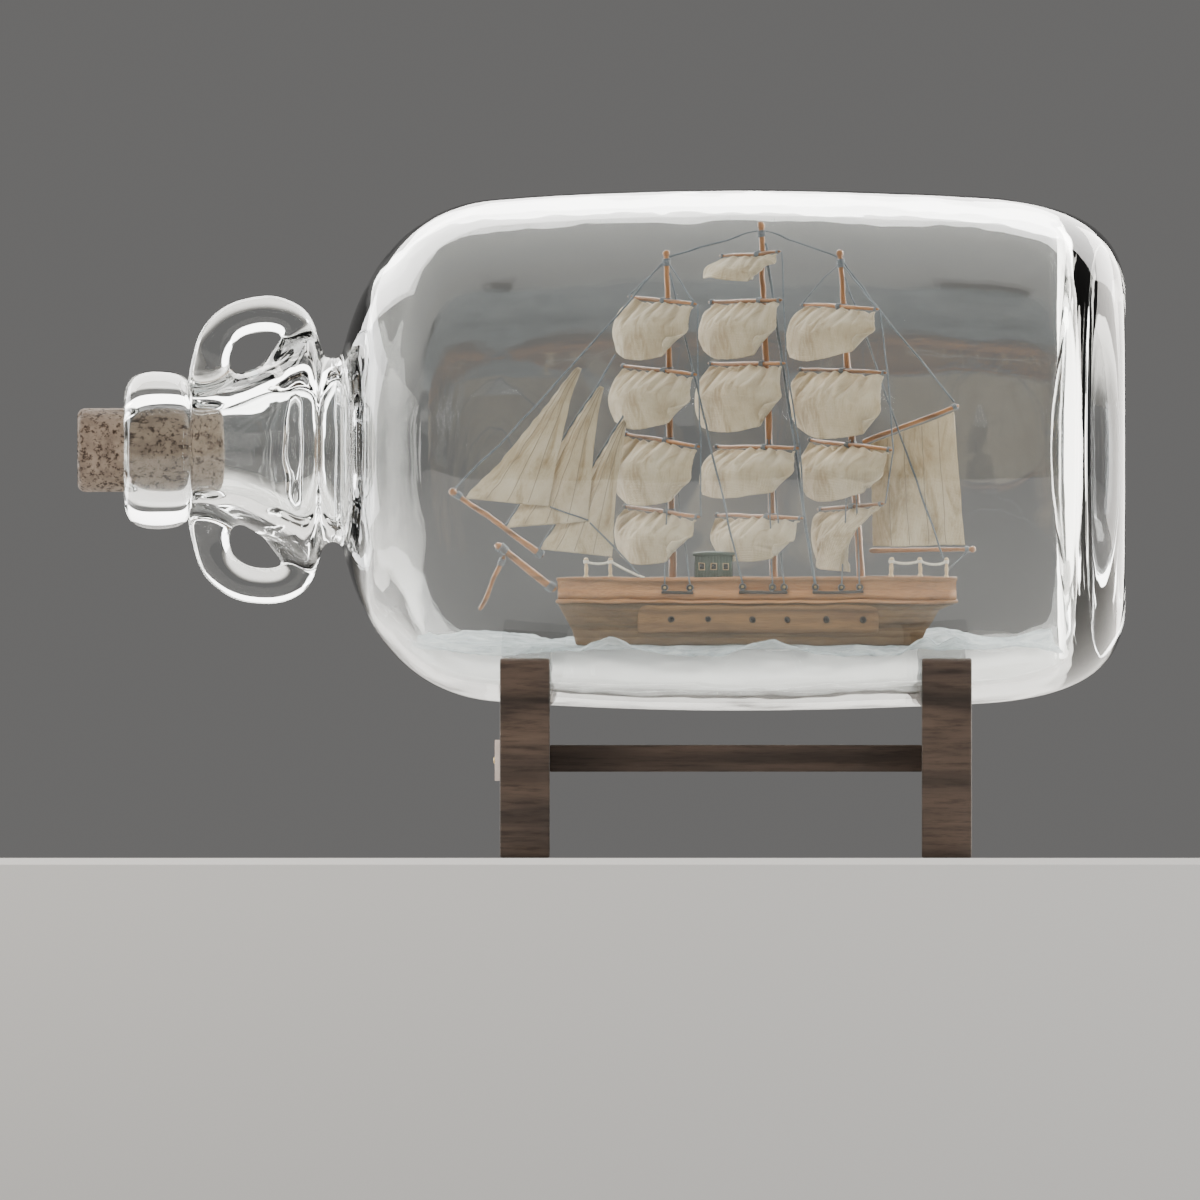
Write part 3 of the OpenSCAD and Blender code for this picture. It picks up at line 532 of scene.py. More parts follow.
def make_stage():
    world = bpy.data.worlds.new("studio")
    bpy.context.scene.world = world
    world.use_nodes = True
    back = world.node_tree.nodes["Background"]
    back.inputs["Color"].default_value = (0.30, 0.295, 0.29, 1)
    back.inputs["Strength"].default_value = 0.5
    middle = (0.01, 0, 0.115)
    make_lamp("key", (-0.5, -0.95, 0.7), middle, (0.5, 0.5), 15, (1.0, 0.96, 0.91), mirrored=False)
    make_lamp("fill", (0.6, -1.0, 0.3), middle, (0.8, 0.8), 6, mirrored=False)
    make_lamp("top", (0.02, 0.30, 0.40), (0.02, 0, 0.12), (0.90, 0.28), 6.5, (1.0, 0.98, 0.95))
    make_lamp("rim_right", (0.38, 0.22, 0.15), middle, (0.46, 0.50), 6.0, (1.0, 0.96, 0.90))
    make_lamp("rim_left", (-0.42, 0.28, 0.14), middle, (0.34, 0.36), 3.2)
    slab = Soup()
    slab.block((-0.85, -0.55, -0.3), (0.85, 0.85, 0.0), 0.002)
    mesh = mesh_from("floor", slab.verts, slab.faces)
    floor = bpy.data.objects.new("floor", mesh)
    bpy.context.scene.collection.objects.link(floor)
    m = Nodes("pale_floor")
    fine = m.noise(m.coords(), 600.0, 2.0)
    m.set(Base_Color=(0.62, 0.61, 0.59, 1), Roughness=0.7, Normal=m.bump(fine, 0.00005, 0.2))
    mesh.materials.append(m.mat)


make_camera()
make_stage()

# ---------------------------------------------------------------- jug: the same outline as the CAD jug, finer
WALL, BORE_R, COLLAR_R, FOOT_R, NECK_R = 4.5, 12.6, 23.8, 45.0, 18.0
WAIST_R, SHOULDER_AT, PUNT, BASE_T, LIP_R = 27.2, 113.0, 11.3, 9.9, BORE_R + 2.7
SHOULDER_R, HEEL_AT, HEEL_R = JUG_R - 2.7, JUG_LEN - 45.5, JUG_R - 2
BELLY_AT = (SHOULDER_AT + HEEL_AT) / 2
INNER_R, INNER_HEEL_R = JUG_R - WALL, HEEL_R - WALL - 0.5
FLOOR_AT = JUG_LEN - PUNT - BASE_T


def outline(line, *curves):
    """Points along a start and the curves that follow it: [distance from the mouth, radius]."""
    for p, n in curves:
        line += curve(p, n)
    return line


def outer_outline():
    """Outside of the jug from the mouth to the middle of the base."""
    return outline(
        [[0, BORE_R + 0.8], [0, LIP_R]],
        ([[0, LIP_R], [0.5, COLLAR_R - 1], [5, COLLAR_R], [10, COLLAR_R]], 10),
        ([[10, COLLAR_R], [15, COLLAR_R], [19.4, COLLAR_R - 1], [19.8, NECK_R + 1]], 10),
        ([[19.8, NECK_R + 1], [20, NECK_R], [20.2, NECK_R], [20.8, NECK_R]], 3),
        ([[20.8, NECK_R], [22.8, NECK_R], [42, 24], [50, 31]], 14),
        ([[50, 31], [54, 34.5], [57, 35.5], [58.5, 31]], 8),
        ([[58.5, 31], [59.5, WAIST_R], [63.5, WAIST_R - 0.6], [65.5, WAIST_R + 2]], 8),
        ([[65.5, WAIST_R + 2], [71, 53], [84.5, SHOULDER_R - 1.5], [SHOULDER_AT, SHOULDER_R]], 26),
        ([[SHOULDER_AT, SHOULDER_R], [SHOULDER_AT + 25, JUG_R - 0.6], [BELLY_AT - 22, JUG_R],
          [BELLY_AT, JUG_R]], 8),
        ([[BELLY_AT, JUG_R], [BELLY_AT + 24, JUG_R], [HEEL_AT - 22, HEEL_R + 1], [HEEL_AT, HEEL_R]], 8),
        ([[HEEL_AT, HEEL_R], [JUG_LEN - 15, HEEL_R - 1.5], [JUG_LEN, HEEL_R - 10],
          [JUG_LEN, FOOT_R + 1.5]], 22),
        ([[JUG_LEN, FOOT_R + 1.5], [JUG_LEN, FOOT_R - 3], [JUG_LEN - 2, FOOT_R - 5],
          [JUG_LEN - 4, FOOT_R - 9]], 8),
        ([[JUG_LEN - 4, FOOT_R - 9], [JUG_LEN - 8, FOOT_R - 20], [JUG_LEN - PUNT, 14],
          [JUG_LEN - PUNT, 0]], 10))


def inner_outline():
    """Inside of the jug from the mouth to the middle of its floor."""
    return outline(
        [[0, BORE_R + 0.8], [1.2, BORE_R], [16, BORE_R], [31, BORE_R]],
        ([[31, BORE_R], [38, BORE_R], [42, 14.8], [47, 16.6]], 8),
        ([[47, 16.6], [54, 19], [60, 20.6], [65, 22.6]], 6),
        ([[65, 22.6], [72, 27], [70, 43], [79.5, 53.5]], 12),
        ([[79.5, 53.5], [89, 66], [97, SHOULDER_R - WALL - 1], [SHOULDER_AT + 1, SHOULDER_R - WALL]], 14),
        ([[SHOULDER_AT + 1, SHOULDER_R - WALL], [SHOULDER_AT + 25, INNER_R - 0.6],
          [BELLY_AT - 22, INNER_R], [BELLY_AT, INNER_R]], 8),
        ([[BELLY_AT, INNER_R], [BELLY_AT + 24, INNER_R], [HEEL_AT - 26, INNER_HEEL_R + 1],
          [HEEL_AT - 4, INNER_HEEL_R]], 8),
        ([[HEEL_AT - 4, INNER_HEEL_R], [JUG_LEN - 24, INNER_HEEL_R - 2], [JUG_LEN - 13, INNER_HEEL_R - 5],
          [JUG_LEN - 13.5, INNER_HEEL_R - 15]], 16),
        ([[JUG_LEN - 13.5, INNER_HEEL_R - 15], [JUG_LEN - 14, INNER_HEEL_R - 32], [FLOOR_AT, 22],
          [FLOOR_AT, 0]], 12))


def inner_radius(x):
    """Radius of the jug's inside (m) at a place along it."""
    body = [p for p in inner_outline() if p[0] > 64 and p[1] > 50]
    return lookup((x - MOUTH_X) / MM, sorted(body)) * MM


def jug_point(s, r, a):
    return Vector((MOUTH_X + s * MM, r * MM * math.cos(a), AXIS_Z + r * MM * math.sin(a)))


def revolve(line, sides):
    """A closed turned body from a line that starts and ends on the axis."""
    verts = [jug_point(line[0][0], 0, 0)]
    for s, r in line[1:-1]:
        verts += [jug_point(s, r, 2 * math.pi * k / sides) for k in range(sides)]
    verts.append(jug_point(line[-1][0], 0, 0))
    rings = len(line) - 2
    faces = []
    for k in range(sides):
        nxt = (k + 1) % sides
        faces.append([0, 1 + k, 1 + nxt])
        for j in range(rings - 1):
            a, b = 1 + j * sides, 1 + (j + 1) * sides
            faces.append([a + k, b + k, b + nxt, a + nxt])
        last = 1 + (rings - 1) * sides
        faces.append([last + k, len(verts) - 1, last + nxt])
    return verts, faces


def ear_line():
    return (curve([[26.4, NECK_R - 2.5], [24, 32], [29, 40.5], [42.5, 40.8]], 22)
            + curve([[42.5, 40.8], [53, 41], [54.5, 33], [50.5, 26.0]], 20))


def ear_radius(share, _angle=0.0):
    """The rod is drawn out of a thicker gather at both ends."""
    root = max(0.0, 1 - share / 0.16) + max(0.0, 1 - (1 - share) / 0.18)
    return (5.4 + 1.4 * smooth_step(root)) * MM


def make_glass():
    outer, inner = outer_outline(), inner_outline()
    verts, faces = revolve(outer[::-1] + inner[1:], 160)
    jug = add_object("jug_glass", outward(mesh_from("jug_glass", verts, faces)), "jug", GLASS)
    helpers = []
    for sign in (1, -1):
        ear = Soup()
        path = [Vector((MOUTH_X + s * MM, 0, AXIS_Z + sign * r * MM)) for s, r in ear_line()]
        ear.tube(path, ear_radius, 40)
        helper = bpy.data.objects.new("ear_rod", outward(mesh_from("ear_rod", ear.verts, ear.faces)))
        bpy.context.scene.collection.objects.link(helper)
        helpers.append(helper)
        modifier(jug, "BOOLEAN", operation="UNION", solver="EXACT", object=helper)
    apply_modifiers(jug)
    for helper in helpers:
        bpy.data.objects.remove(helper)
    soften_roots(jug.data, outer)
    jug.data.materials.clear()
    jug.data.materials.append(GLASS)
    jug.data.shade_smooth()
    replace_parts(jug, "jug_neck", "jug_shoulder", "jug_body", "jug_base", "upper_ear_handle",
                "lower_ear_handle")


ROOT_MELT = 4.5          # mm over which an ear flows into the neck


def root_field(at, neck, path, radii):
    """Signed distance in mm to the neck and the rod melted together, and how near the joint it is."""
    s, out = at[:, 0], np.hypot(at[:, 1], at[:, 2])
    to_neck = out - np.interp(s, neck[:, 0], neck[:, 1])
    folded = np.stack([s, at[:, 1], np.abs(at[:, 2])], axis=1)
    to_rod = (np.linalg.norm(folded[:, None] - path[None], axis=2) - radii[None]).min(axis=1)
    near = np.clip(ROOT_MELT - np.abs(to_neck - to_rod), 0, None) / ROOT_MELT
    return np.minimum(to_neck, to_rod) - near * near * ROOT_MELT / 4, near


def soften_roots(mesh, outer):
    """Melts the joints of the ears into the neck, and gives the hand-worked neck its slight waves."""
    neck = np.array(sorted(p for p in outer if 20 < p[0] < 62))
    line = ear_line()
    fine = [[a[0] + (b[0] - a[0]) * t, a[1] + (b[1] - a[1]) * t]
            for a, b in zip(line, line[1:]) for t in (0, 0.25, 0.5, 0.75)]
    path = np.array([[s, 0, r] for s, r in fine])
    radii = np.array([ear_radius(i / (len(fine) - 1)) / MM for i in range(len(fine))])
    home = np.array([MOUTH_X, 0, AXIS_Z])
    bm = bmesh.new()
    bm.from_mesh(mesh)

    def joint_verts(reach):
        at = (np.array([v.co for v in bm.verts]) - home) / MM
        bulk = (at[:, 0] > 20) & (at[:, 0] < 63) & (np.hypot(at[:, 1], at[:, 2]) > 17.2)
        where = np.nonzero(bulk)[0]
        field, near = root_field(at[where], neck, path, radii)
        bm.verts.ensure_lookup_table()
        return [bm.verts[i] for i, f, n in zip(where, field, near) if abs(f) < reach and n > 0.02]

    for _ in range(3):
        zone = set(joint_verts(3.0))
        faces = [f for f in bm.faces if any(v in zone for v in f.verts)]
        bmesh.ops.triangulate(bm, faces=faces)
        edges = [e for e in bm.edges
                 if e.calc_length() > 0.8 * MM and (e.verts[0] in zone or e.verts[1] in zone)]
        bmesh.ops.subdivide_edges(bm, edges=edges, cuts=1)
    zone = joint_verts(3.0)
    for step in range(8):
        bmesh.ops.smooth_vert(bm, verts=zone, factor=0.5, use_axis_x=True, use_axis_y=True, use_axis_z=True)
        at = (np.array([v.co for v in zone]) - home) / MM
        for _ in range(2):
            field, _near = root_field(at, neck, path, radii)
            slope = np.stack([(root_field(at + shift, neck, path, radii)[0] - field) / 0.05
                              for shift in np.eye(3) * 0.05], axis=1)
            at -= (field / np.maximum((slope * slope).sum(axis=1), 0.3))[:, None] * slope
        for v, p in zip(zone, at * MM + home):
            v.co = p
    for v in bm.verts:
        s = (v.co.x - MOUTH_X) / MM
        out = Vector((0, v.co.y, v.co.z - AXIS_Z))
        r = out.length / MM
        if r > 17.5 and 20.5 < s < 66:
            amount = smooth_step((s - 20.5) / 8) * smooth_step((66 - s) / 6)
            v.co += out.normalized() * (0.4 * MM * amount * wobble(v.co, 8 * MM, 3.0))
        elif r > 24 and s >= 66:
            wave = wobble(v.co, 45 * MM, 5.0) - 0.8
            v.co += out.normalized() * (0.12 * MM * smooth_step((s - 66) / 20) * wave)
    bm.to_mesh(mesh)
    bm.free()


make_glass()


def make_cork():
    """A cut cylinder with rounded ends and pits that only go inwards."""
    lo, hi = (Vector(c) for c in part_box("cork"))
    radius, length = (hi.z - lo.z) / 2, hi.x - lo.x
    soft = 2.4 * MM
    sides, rows = 150, 62
    line = [[0, radius * f] for f in (0.12, 0.25, 0.4, 0.55, 0.7, 0.82)]
    line += [[soft - soft * math.cos(a), radius - soft + soft * math.sin(a)]
             for a in (math.radians(d) for d in (0, 22, 45, 67, 90))]
    line += [[soft + (length - 2 * soft) * i / rows, radius] for i in range(1, rows)]
    line += [[length - d, r] for d, r in line[:11][::-1]]
    verts = [Vector((lo.x, 0, AXIS_Z))]
    for d, r in line:
        for k in range(sides):
            a = 2 * math.pi * k / sides
            p = Vector((lo.x + d, r * math.cos(a), AXIS_Z + r * math.sin(a)))
            deep = (0.9 * max(0.0, wobble(p, 3.1 * MM, 1.0) - 0.25)
                    + 1.1 * max(0.0, wobble(p, 1.3 * MM, 4.0) - 0.22)
                    + 0.8 * max(0.0, wobble(p, 0.8 * MM, 9.0) - 0.25))
            fade = 0.35 if d > 14 * MM else 1.0
            centre = Vector((lo.x + length / 2, 0, AXIS_Z))
            verts.append(p + (centre - p).normalized() * (deep * fade * MM))
    verts.append(Vector((hi.x, 0, AXIS_Z)))
    n = len(line)
    faces = [[0, 1 + (k + 1) % sides, 1 + k] for k in range(sides)]
    for j in range(n - 1):
        a, b = 1 + j * sides, 1 + (j + 1) * sides
        faces += [[a + k, a + (k + 1) % sides, b + (k + 1) % sides, b + k] for k in range(sides)]
    last = 1 + (n - 1) * sides
    faces += [[last + k, last + (k + 1) % sides, len(verts) - 1] for k in range(sides)]
    mesh = outward(mesh_from("cork_stopper", verts, faces))
    cork = add_object("cork_stopper", mesh, "cork", CORK)
    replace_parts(cork, "cork")


make_cork()


# ---------------------------------------------------------------- stand
def eased_copy(node, name, body, mat, width):
    """The CAD shape with its edges eased by a small round."""
    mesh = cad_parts[node].data.copy()
    obj = add_object(name, mesh, body, mat, smooth=False)
    bm = bmesh.new()
    bm.from_mesh(mesh)
    bmesh.ops.remove_doubles(bm, verts=bm.verts, dist=1e-6)
    bmesh.ops.dissolve_limit(bm, angle_limit=math.radians(1.0), verts=bm.verts, edges=bm.edges)
    bm.to_mesh(mesh)
    bm.free()
    modifier(obj, "BEVEL", width=width, segments=3, limit_method="ANGLE", angle_limit=math.radians(32))
    apply_modifiers(obj)
    obj.data.materials.clear()
    obj.data.materials.append(mat)
    for poly in obj.data.polygons:
        poly.use_smooth = True
    obj.data.set_sharp_from_angle(angle=math.radians(28))
    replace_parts(obj, node)


def make_stand():
    eased_copy("left_cradle_board", "left_board", "stand", BOARD, 0.7 * MM)
    eased_copy("right_cradle_board", "right_board", "stand", BOARD, 0.7 * MM)
    # The stretcher bar takes the wood with painted shade, darker than the boards' wood.
    eased_copy("stretcher", "stretcher_bar", "stand", SHADED_STRETCHER_WOOD, 0.4 * MM)
    eased_copy("name_plaque", "blank_plaque", "stand", PLAQUE, 0.25 * MM)
    lo, hi = (Vector(c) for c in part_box("plaque_pins"))
    pins = Soup()
    head_r = (hi.z - lo.z) / 2
    for y in (lo.y + head_r, hi.y - head_r):
        profile = [[0, 0.0], [0.05 * MM, head_r * 0.55], [0.2 * MM, head_r * 0.9], [0.4 * MM, head_r],
                   [0.41 * MM, 0.6 * MM], [hi.x - lo.x, 0.6 * MM]]
        pins.turned((lo.x, y, (lo.z + hi.z) / 2), (1, 0, 0), profile, 28)
    mesh = mesh_from("plaque_pin_heads", pins.verts, pins.faces)
    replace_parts(add_object("plaque_pin_heads", mesh, "stand", BRASS), "plaque_pins")


make_stand()


# ---------------------------------------------------------------- hull
LEVELS = [[-1.5, BOW_X + 5.5, STERN_X - 11, 0.72], [2.4, BOW_X + 4.6, STERN_X - 9.5, 0.87],
          [9, BOW_X + 1, STERN_X - 5.4, 0.97], [STRAKE_Z, BOW_X, STERN_X, 1]]
DECK_Z, TOP_Z = 17.8, 18.9
STATIONS = ([0.3 * (i / 22) ** 2 for i in range(1, 23)] + [0.3 + 0.42 * i / 16 for i in range(1, 17)]
            + [0.72 + 0.28 * i / 12 for i in range(1, 13)])


def half_breadth(t):
    if t < 0.3:
        return math.sin(math.pi / 2 * max(t, 0) / 0.3) ** 0.75
    return 1 - 0.42 * ((t - 0.72) / 0.28) ** 2 if t > 0.72 else 1.0


def level_at(z):
    return [lookup(z, [(v[0], v[i]) for v in LEVELS]) for i in (1, 2, 3)]


def side_y(x):
    """Half width of the deck between the middles of the bulwarks."""
    return BEAM * half_breadth((x - BOW_X) / (STERN_X - BOW_X)) - 0.45


def hull_ring(z, grow):
    """The outline at one height: bow, near side to the transom, far side back."""
    x0, x1, share = level_at(z)
    x0, x1 = x0 - grow, x1 + grow
    width = share * BEAM + grow
    near = [Vector((x0 + (x1 - x0) * t, -width * half_breadth(t), z)) for t in STATIONS]
    return [Vector((x0, 0, z))] + near + [Vector((p.x, -p.y, z)) for p in near[::-1]]


def ringed(soup, rows, hollow):
    """A body through the outlines of the rows; a hollow one closes its section, a solid one has lids."""
    rings = [hull_ring(z, grow) for z, grow in rows]
    size, n = len(rings[0]), len(STATIONS)
    faces = []
    for j in range(len(rows) - (0 if hollow else 1)):
        a, b = j * size, (j + 1) % len(rows) * size
        faces += [[a + k, a + (k + 1) % size, b + (k + 1) % size, b + k] for k in range(size)]
    if not hollow:
        for base, flip in ((0, True), ((len(rows) - 1) * size, False)):
            lid = [[base, base + 1, base + 2 * n]]
            lid += [[base + i, base + i + 1, base + 2 * n - i, base + 2 * n - i + 1] for i in range(1, n)]
            faces += [f[::-1] for f in lid] if flip else lid
    soup.add([p for ring in rings for p in ring], faces)


def make_hull():
    rows = [(-1.5, -0.5), (-1.3, -0.15), (-0.9, 0)]
    for seam in (1.0, 3.0, 5.0, 7.0, 9.0):
        rows += [(seam - 0.13, 0), (seam, -0.13), (seam + 0.13, 0)]
    rows += [(10.2, 0), (STRAKE_Z, 0)]
    lower = Soup()
    ringed(lower, rows, hollow=False)
    # The lower hull takes the darker wood, partly painted shade for where it sits back behind the raised panel.
    lower.on_ship("planked_lower_hull", HULL_WOOD_WITH_PAINTED_SHADE, "hull_dark", "lower_hull")
    strake = Soup()
    ringed(strake, [(STRAKE_Z, 0), (14.9, 0), (15.02, -0.1), (15.14, 0), (17.8, 0), (17.86, 0.26), (18.0, 0.36),
                    (18.7, 0.36), (18.88, 0.24), (18.9, 0.1), (18.9, -1.0), (18.8, -1.2), (18.1, -1.2),
                    (17.9, -0.92), (17.3, -0.92)], hollow=True)
    strake.on_ship("strake_with_cap_rail", LIGHT_WOOD, "hull_light", "upper_strake")
    rub = Soup()
    ringed(rub, [(11.05, -0.05), (11.08, 0.28), (11.25, 0.5), (11.6, 0.62), (11.95, 0.5), (12.12, 0.28),
                 (12.15, -0.05)], hollow=True)
    rub.on_ship("rounded_rubbing_strake", LIGHT_WOOD, "hull_light", "rubbing_strake")


def make_side_panels():
    """A raised panel on each side, its upper corners rounded and its edge sloped."""
    z_lo, z_hi, corner = 2.3, 10.4, 2.6
    nu, nv = 60, 18
    soup = Soup()
    for side in (-1, 1):
        lays = []
        for grow, inset in ((-0.15, 0.0), (0.28, 0.0), (0.42, 0.25)):
            lay = []
            for j in range(nv + 1):
                z = z_lo + inset + (z_hi - z_lo - 2 * inset) * j / nv
                cut = corner * (1 - math.sqrt(max(0.0, 1 - max(0.0, (z - z_hi + corner) / corner) ** 2)))
                x0, x1, share = level_at(z)
                left, right = -35.0 + inset + cut, 37.5 - inset - cut
                for i in range(nu + 1):
                    x = left + (right - left) * i / nu
                    y = share * BEAM * half_breadth((x - x0) / (x1 - x0)) + grow
                    lay.append(Vector((x, side * y, z)))
            lays.append(lay)
        k = (nu + 1) * (nv + 1)
        faces = grid_faces(nu, nv)
        shell = [[2 * k + i for i in f] for f in faces] + [f[::-1] for f in faces]
        for a, b in grid_rim(nu, nv):
            shell += [[a, b, k + b, k + a], [k + a, k + b, 2 * k + b, 2 * k + a]]
        soup.add([p for lay in lays for p in lay], shell if side < 0 else [f[::-1] for f in shell])
    soup.on_ship("raised_side_panels", PANEL_WOOD, "hull_dark", "side_panels", tidy_normals=True)


def make_deck():
    """Planks laid along the deck, with a seam between each two."""
    soup = Soup()
    plank, seam, thick = 1.35, 0.12, 0.55
    xs = [BOW_X + (STERN_X - BOW_X) * t for t in STATIONS][:-1]
    row = -6
    while row <= 6:
        near, far = (row - 0.5) * plank + seam / 2, (row + 0.5) * plank - seam / 2
        strip = []
        for x in xs:
            edge = side_y(x) - 0.35
            lo, hi = max(near, -edge), min(far, edge)
            if hi - lo > 0.1:
                strip.append((x, lo, hi))
        if len(strip) > 2:
            verts = []
            for x, lo, hi in strip:
                drop = 0.05
                verts += [(x, lo, DECK_Z - thick), (x, lo, DECK_Z - drop), (x, lo + drop, DECK_Z),
                          (x, hi - drop, DECK_Z), (x, hi, DECK_Z - drop), (x, hi, DECK_Z - thick)]
            n = len(strip)
            faces = [[j * 6 + k, (j + 1) * 6 + k, (j + 1) * 6 + (k + 1) % 6, j * 6 + (k + 1) % 6]
                     for j in range(n - 1) for k in range(6)]
            faces += [list(range(6)), [(n - 1) * 6 + k for k in range(5, -1, -1)]]
            soup.add(verts, faces)
        row += 1
    soup.on_ship("deck_planks", DECK_WOOD, "hull_light", "deck")


def make_deck_house():
    """A small house with planked walls, a rounded roof, a door at each end and windows along the sides."""
    walls, trim, panes = Soup(), Soup(), Soup()
    x0, x1, half, roof_z = -18.0, -6.6, 3.6, 25.2
    walls.block((x0 + 0.1, -half + 0.1, DECK_Z), (x1 - 0.1, half - 0.1, roof_z), 0.05)
    count = 12
    width = (x1 - x0) / count
    for side in (-1, 1):
        for i in range(count):
            a = x0 + i * width
            y = sorted((side * half, side * (half - 0.25)))
            walls.block((a + 0.04, y[0], DECK_Z + 0.1), (a + width - 0.04, y[1], roof_z - 0.1), 0.05)
    for x in (x0, x1):
        for i in range(7):
            y = -half + 2 * half * i / 7
            lo, hi = sorted((x, x + (0.25 if x == x0 else -0.25)))
            walls.block((lo, y + 0.04, DECK_Z + 0.1), (hi, y + 2 * half / 7 - 0.04, roof_z - 0.1), 0.05)
    roof = []
    for j in range(9):
        y = -4.2 + 8.4 * j / 8
        roof.append((y, 25.95 + 0.35 * math.cos(math.pi * y / 9.5)))
    section = [(-4.2, 25.2)] + roof + [(4.2, 25.2)]
    verts = [(x, y, z) for x in (-18.7, -18.5, -6.1, -5.9) for y, z in section]
    for k in range(len(section)):
        for j, x in ((0, -18.7), (3, -5.9)):
            y, z = section[k]
            verts[j * len(section) + k] = (x, y * 0.97, 25.55 + (z - 25.55) * 0.7)
    n = len(section)
    faces = [[j * n + k, (j + 1) * n + k, (j + 1) * n + (k + 1) % n, j * n + (k + 1) % n]
             for j in range(3) for k in range(n)]
    faces += [list(range(n)), [3 * n + k for k in range(n - 1, -1, -1)]]
    walls.add(verts, faces)
    for side in (-1, 1):
        for x in (-16, -12.3, -8.6):
            y = sorted((side * (half + 0.02), side * (half + 0.2)))
            for lo, hi in (((x - 0.95, 22.9), (x + 0.95, 23.15)), ((x - 0.95, 20.9), (x + 0.95, 21.15)),
                           ((x - 0.95, 20.9), (x - 0.7, 23.15)), ((x + 0.7, 20.9), (x + 0.95, 23.15))):
                trim.block((lo[0], y[0], lo[1]), (hi[0], y[1], hi[1]), 0.05)
            panes.block((x - 0.75, y[0], 21.1), (x + 0.75, y[0] + 0.08, 22.95), 0.02)
    for x in (x0, x1):
        lo, hi = sorted((x + (-0.04 if x == x0 else 0.04), x + (-0.22 if x == x0 else 0.22)))
        panes.block((lo, -1.0, DECK_Z + 0.2), (hi, 1.0, 23.2), 0.05)
    trim.block((-18.25, -3.85, DECK_Z), (-6.35, 3.85, DECK_Z + 0.35), 0.08)
    walls.on_ship("planked_deck_house", HOUSE_PAINT, "house_paint", "deck_house", tidy_normals=True)
    trim.on_ship("house_window_frames", POST_WOOD, "hull_light")
    panes.on_ship("house_panes_and_doors", DARK_GLASS, "dark_fitting")


# Outlines turned round an axis: [distance along it, radius]
POST_PROFILE = [[0, 0.45], [0, 0.75], [0.35, 0.75], [0.5, 0.55], [0.7, 0.42], [1.8, 0.52], [2.4, 0.6],
                [3.0, 0.5], [3.9, 0.4], [4.3, 0.42], [4.45, 0.6], [4.62, 0.6], [4.75, 0.4], [4.95, 0.52],
                [5.25, 0.66], [5.55, 0.6], [5.8, 0.38], [5.9, 0.08]]
PORT_PROFILE = [[0, 0.5], [0, 1.0], [0.35, 1.02], [0.55, 0.95], [0.68, 0.8], [0.62, 0.66], [0.45, 0.6],
                [0.3, 0.58]]
EYE_PROFILE = [[0, 0.2], [0, 0.75], [0.12, 0.95], [0.3, 1.0], [0.42, 0.84], [0.58, 0.84], [0.7, 1.0],
               [0.88, 0.95], [1.0, 0.72], [1.02, 0.2]]


def make_portholes():
    rings, glass = Soup(), Soup()
    for x in (-25, -14, -0.5, 10, 22, 33):
        for side in (-1, 1):
            at = (x, side * (BEAM * 0.93 + 0.1), 6.3)
            rings.turned(at, (0, side, 0), PORT_PROFILE, 28)
            glass.turned(at, (0, side, 0),
                         [[0, 0.3], [0.2, 0.62], [0.38, 0.6], [0.44, 0.3], [0.46, 0.01]], 20)
    rings.on_ship("porthole_rings", DARK_FITTING, "dark_fitting", "portholes")
    glass.on_ship("porthole_panes", DARK_GLASS, "dark_fitting")


# ---------------------------------------------------------------- thread work
ROPE_R, THIN, THICK, RAIL_ROPE_R = 0.28, 0.22, 0.42, 0.3


def resample(points, step):
    pts = [Vector(p) for p in points]
    out = [pts[0]]
    for a, b in zip(pts, pts[1:]):
        n = max(1, round((b - a).length / step))
        out += [a.lerp(b, i / n) for i in range(1, n + 1)]
    return out


def rope(soup, points, r=ROPE_R):
    """Three strands laid up along the points, which are in the ship's frame."""
    fine = resample(points, 0.34)
    fine = [p + Vector((wobble(p, 9.0, 2.0), wobble(p, 9.0, 7.0), 0)) * 0.06 for p in fine]
    soup.tube(fine, r * 1.12, 10, lobes=3, twist=0.55 / r)


def turns(soup, a, b, r, count, thread=0.24):
    """Turns of thread wound round a spar between two points of its middle line."""
    a, b = Vector(a), Vector(b)
    axis = (b - a).normalized()
    side = axis.orthogonal().normalized()
    up = axis.cross(side)
    steps = 18 * count
    pts = []
    for i in range(steps + 1):
        ang = 2 * math.pi * i / 18
        reach = r + thread * 0.8 + 0.05 * math.sin(3.1 * ang)
        pts.append(a.lerp(b, i / steps) + side * (reach * math.cos(ang)) + up * (reach * math.sin(ang)))
    soup.tube(pts, thread, 7)


def slack(a, b, sag):
    a, b = Vector(a), Vector(b)
    return [a.lerp(b, i / 16) - Vector((0, 0, 4 * sag * i / 16 * (1 - i / 16))) for i in range(17)]


BOW_POSTS, STERN_POSTS = [-50.5, -43], [41.5, 50, 58]


def make_rails():
    for name, node, places in (("bow_posts", "bow_rail_posts", BOW_POSTS),
                               ("stern_posts", "stern_rail_posts", STERN_POSTS)):
        soup = Soup()
        for x in places:
            for side in (-1, 1):
                soup.turned((x, side * side_y(x), TOP_Z - 0.1), (0, 0, 1), POST_PROFILE, 24)
        soup.on_ship("turned_" + name, POST_WOOD, "spar_wood", node)
    ropes = Soup()
    knot = 0.45
    for side in (-1, 1):
        def rail(x, z=23.4):
            return (x, side * side_y(x), z)
        for a, b, sag in ((rail(-50.5), rail(-43.3), 0.6), (rail(-42.7), rail(-33, TOP_Z), 0.4),
                          (rail(41.5), rail(49.7), 0.9), (rail(50.3), rail(57.7), 0.9)):
            rope(ropes, slack(a, b, sag), RAIL_ROPE_R)
        for x in BOW_POSTS + STERN_POSTS:
            turns(ropes, rail(x, 23.0), rail(x, 23.9), knot, 3, 0.2)
    rope(ropes, slack((58.2, 4.3, 23.4), (58.2, -4.3, 23.4), 0.6), RAIL_ROPE_R)
    ropes.on_ship("white_rail_ropes", WHITE_THREAD, "white_rope", "rail_ropes")


DEADEYE_X = [-27, -19.5, -3.5, 5.5, 9, 18.5, 26.5, 32]
EYE_Y, EYE_Z = BEAM + 0.75, 16.9


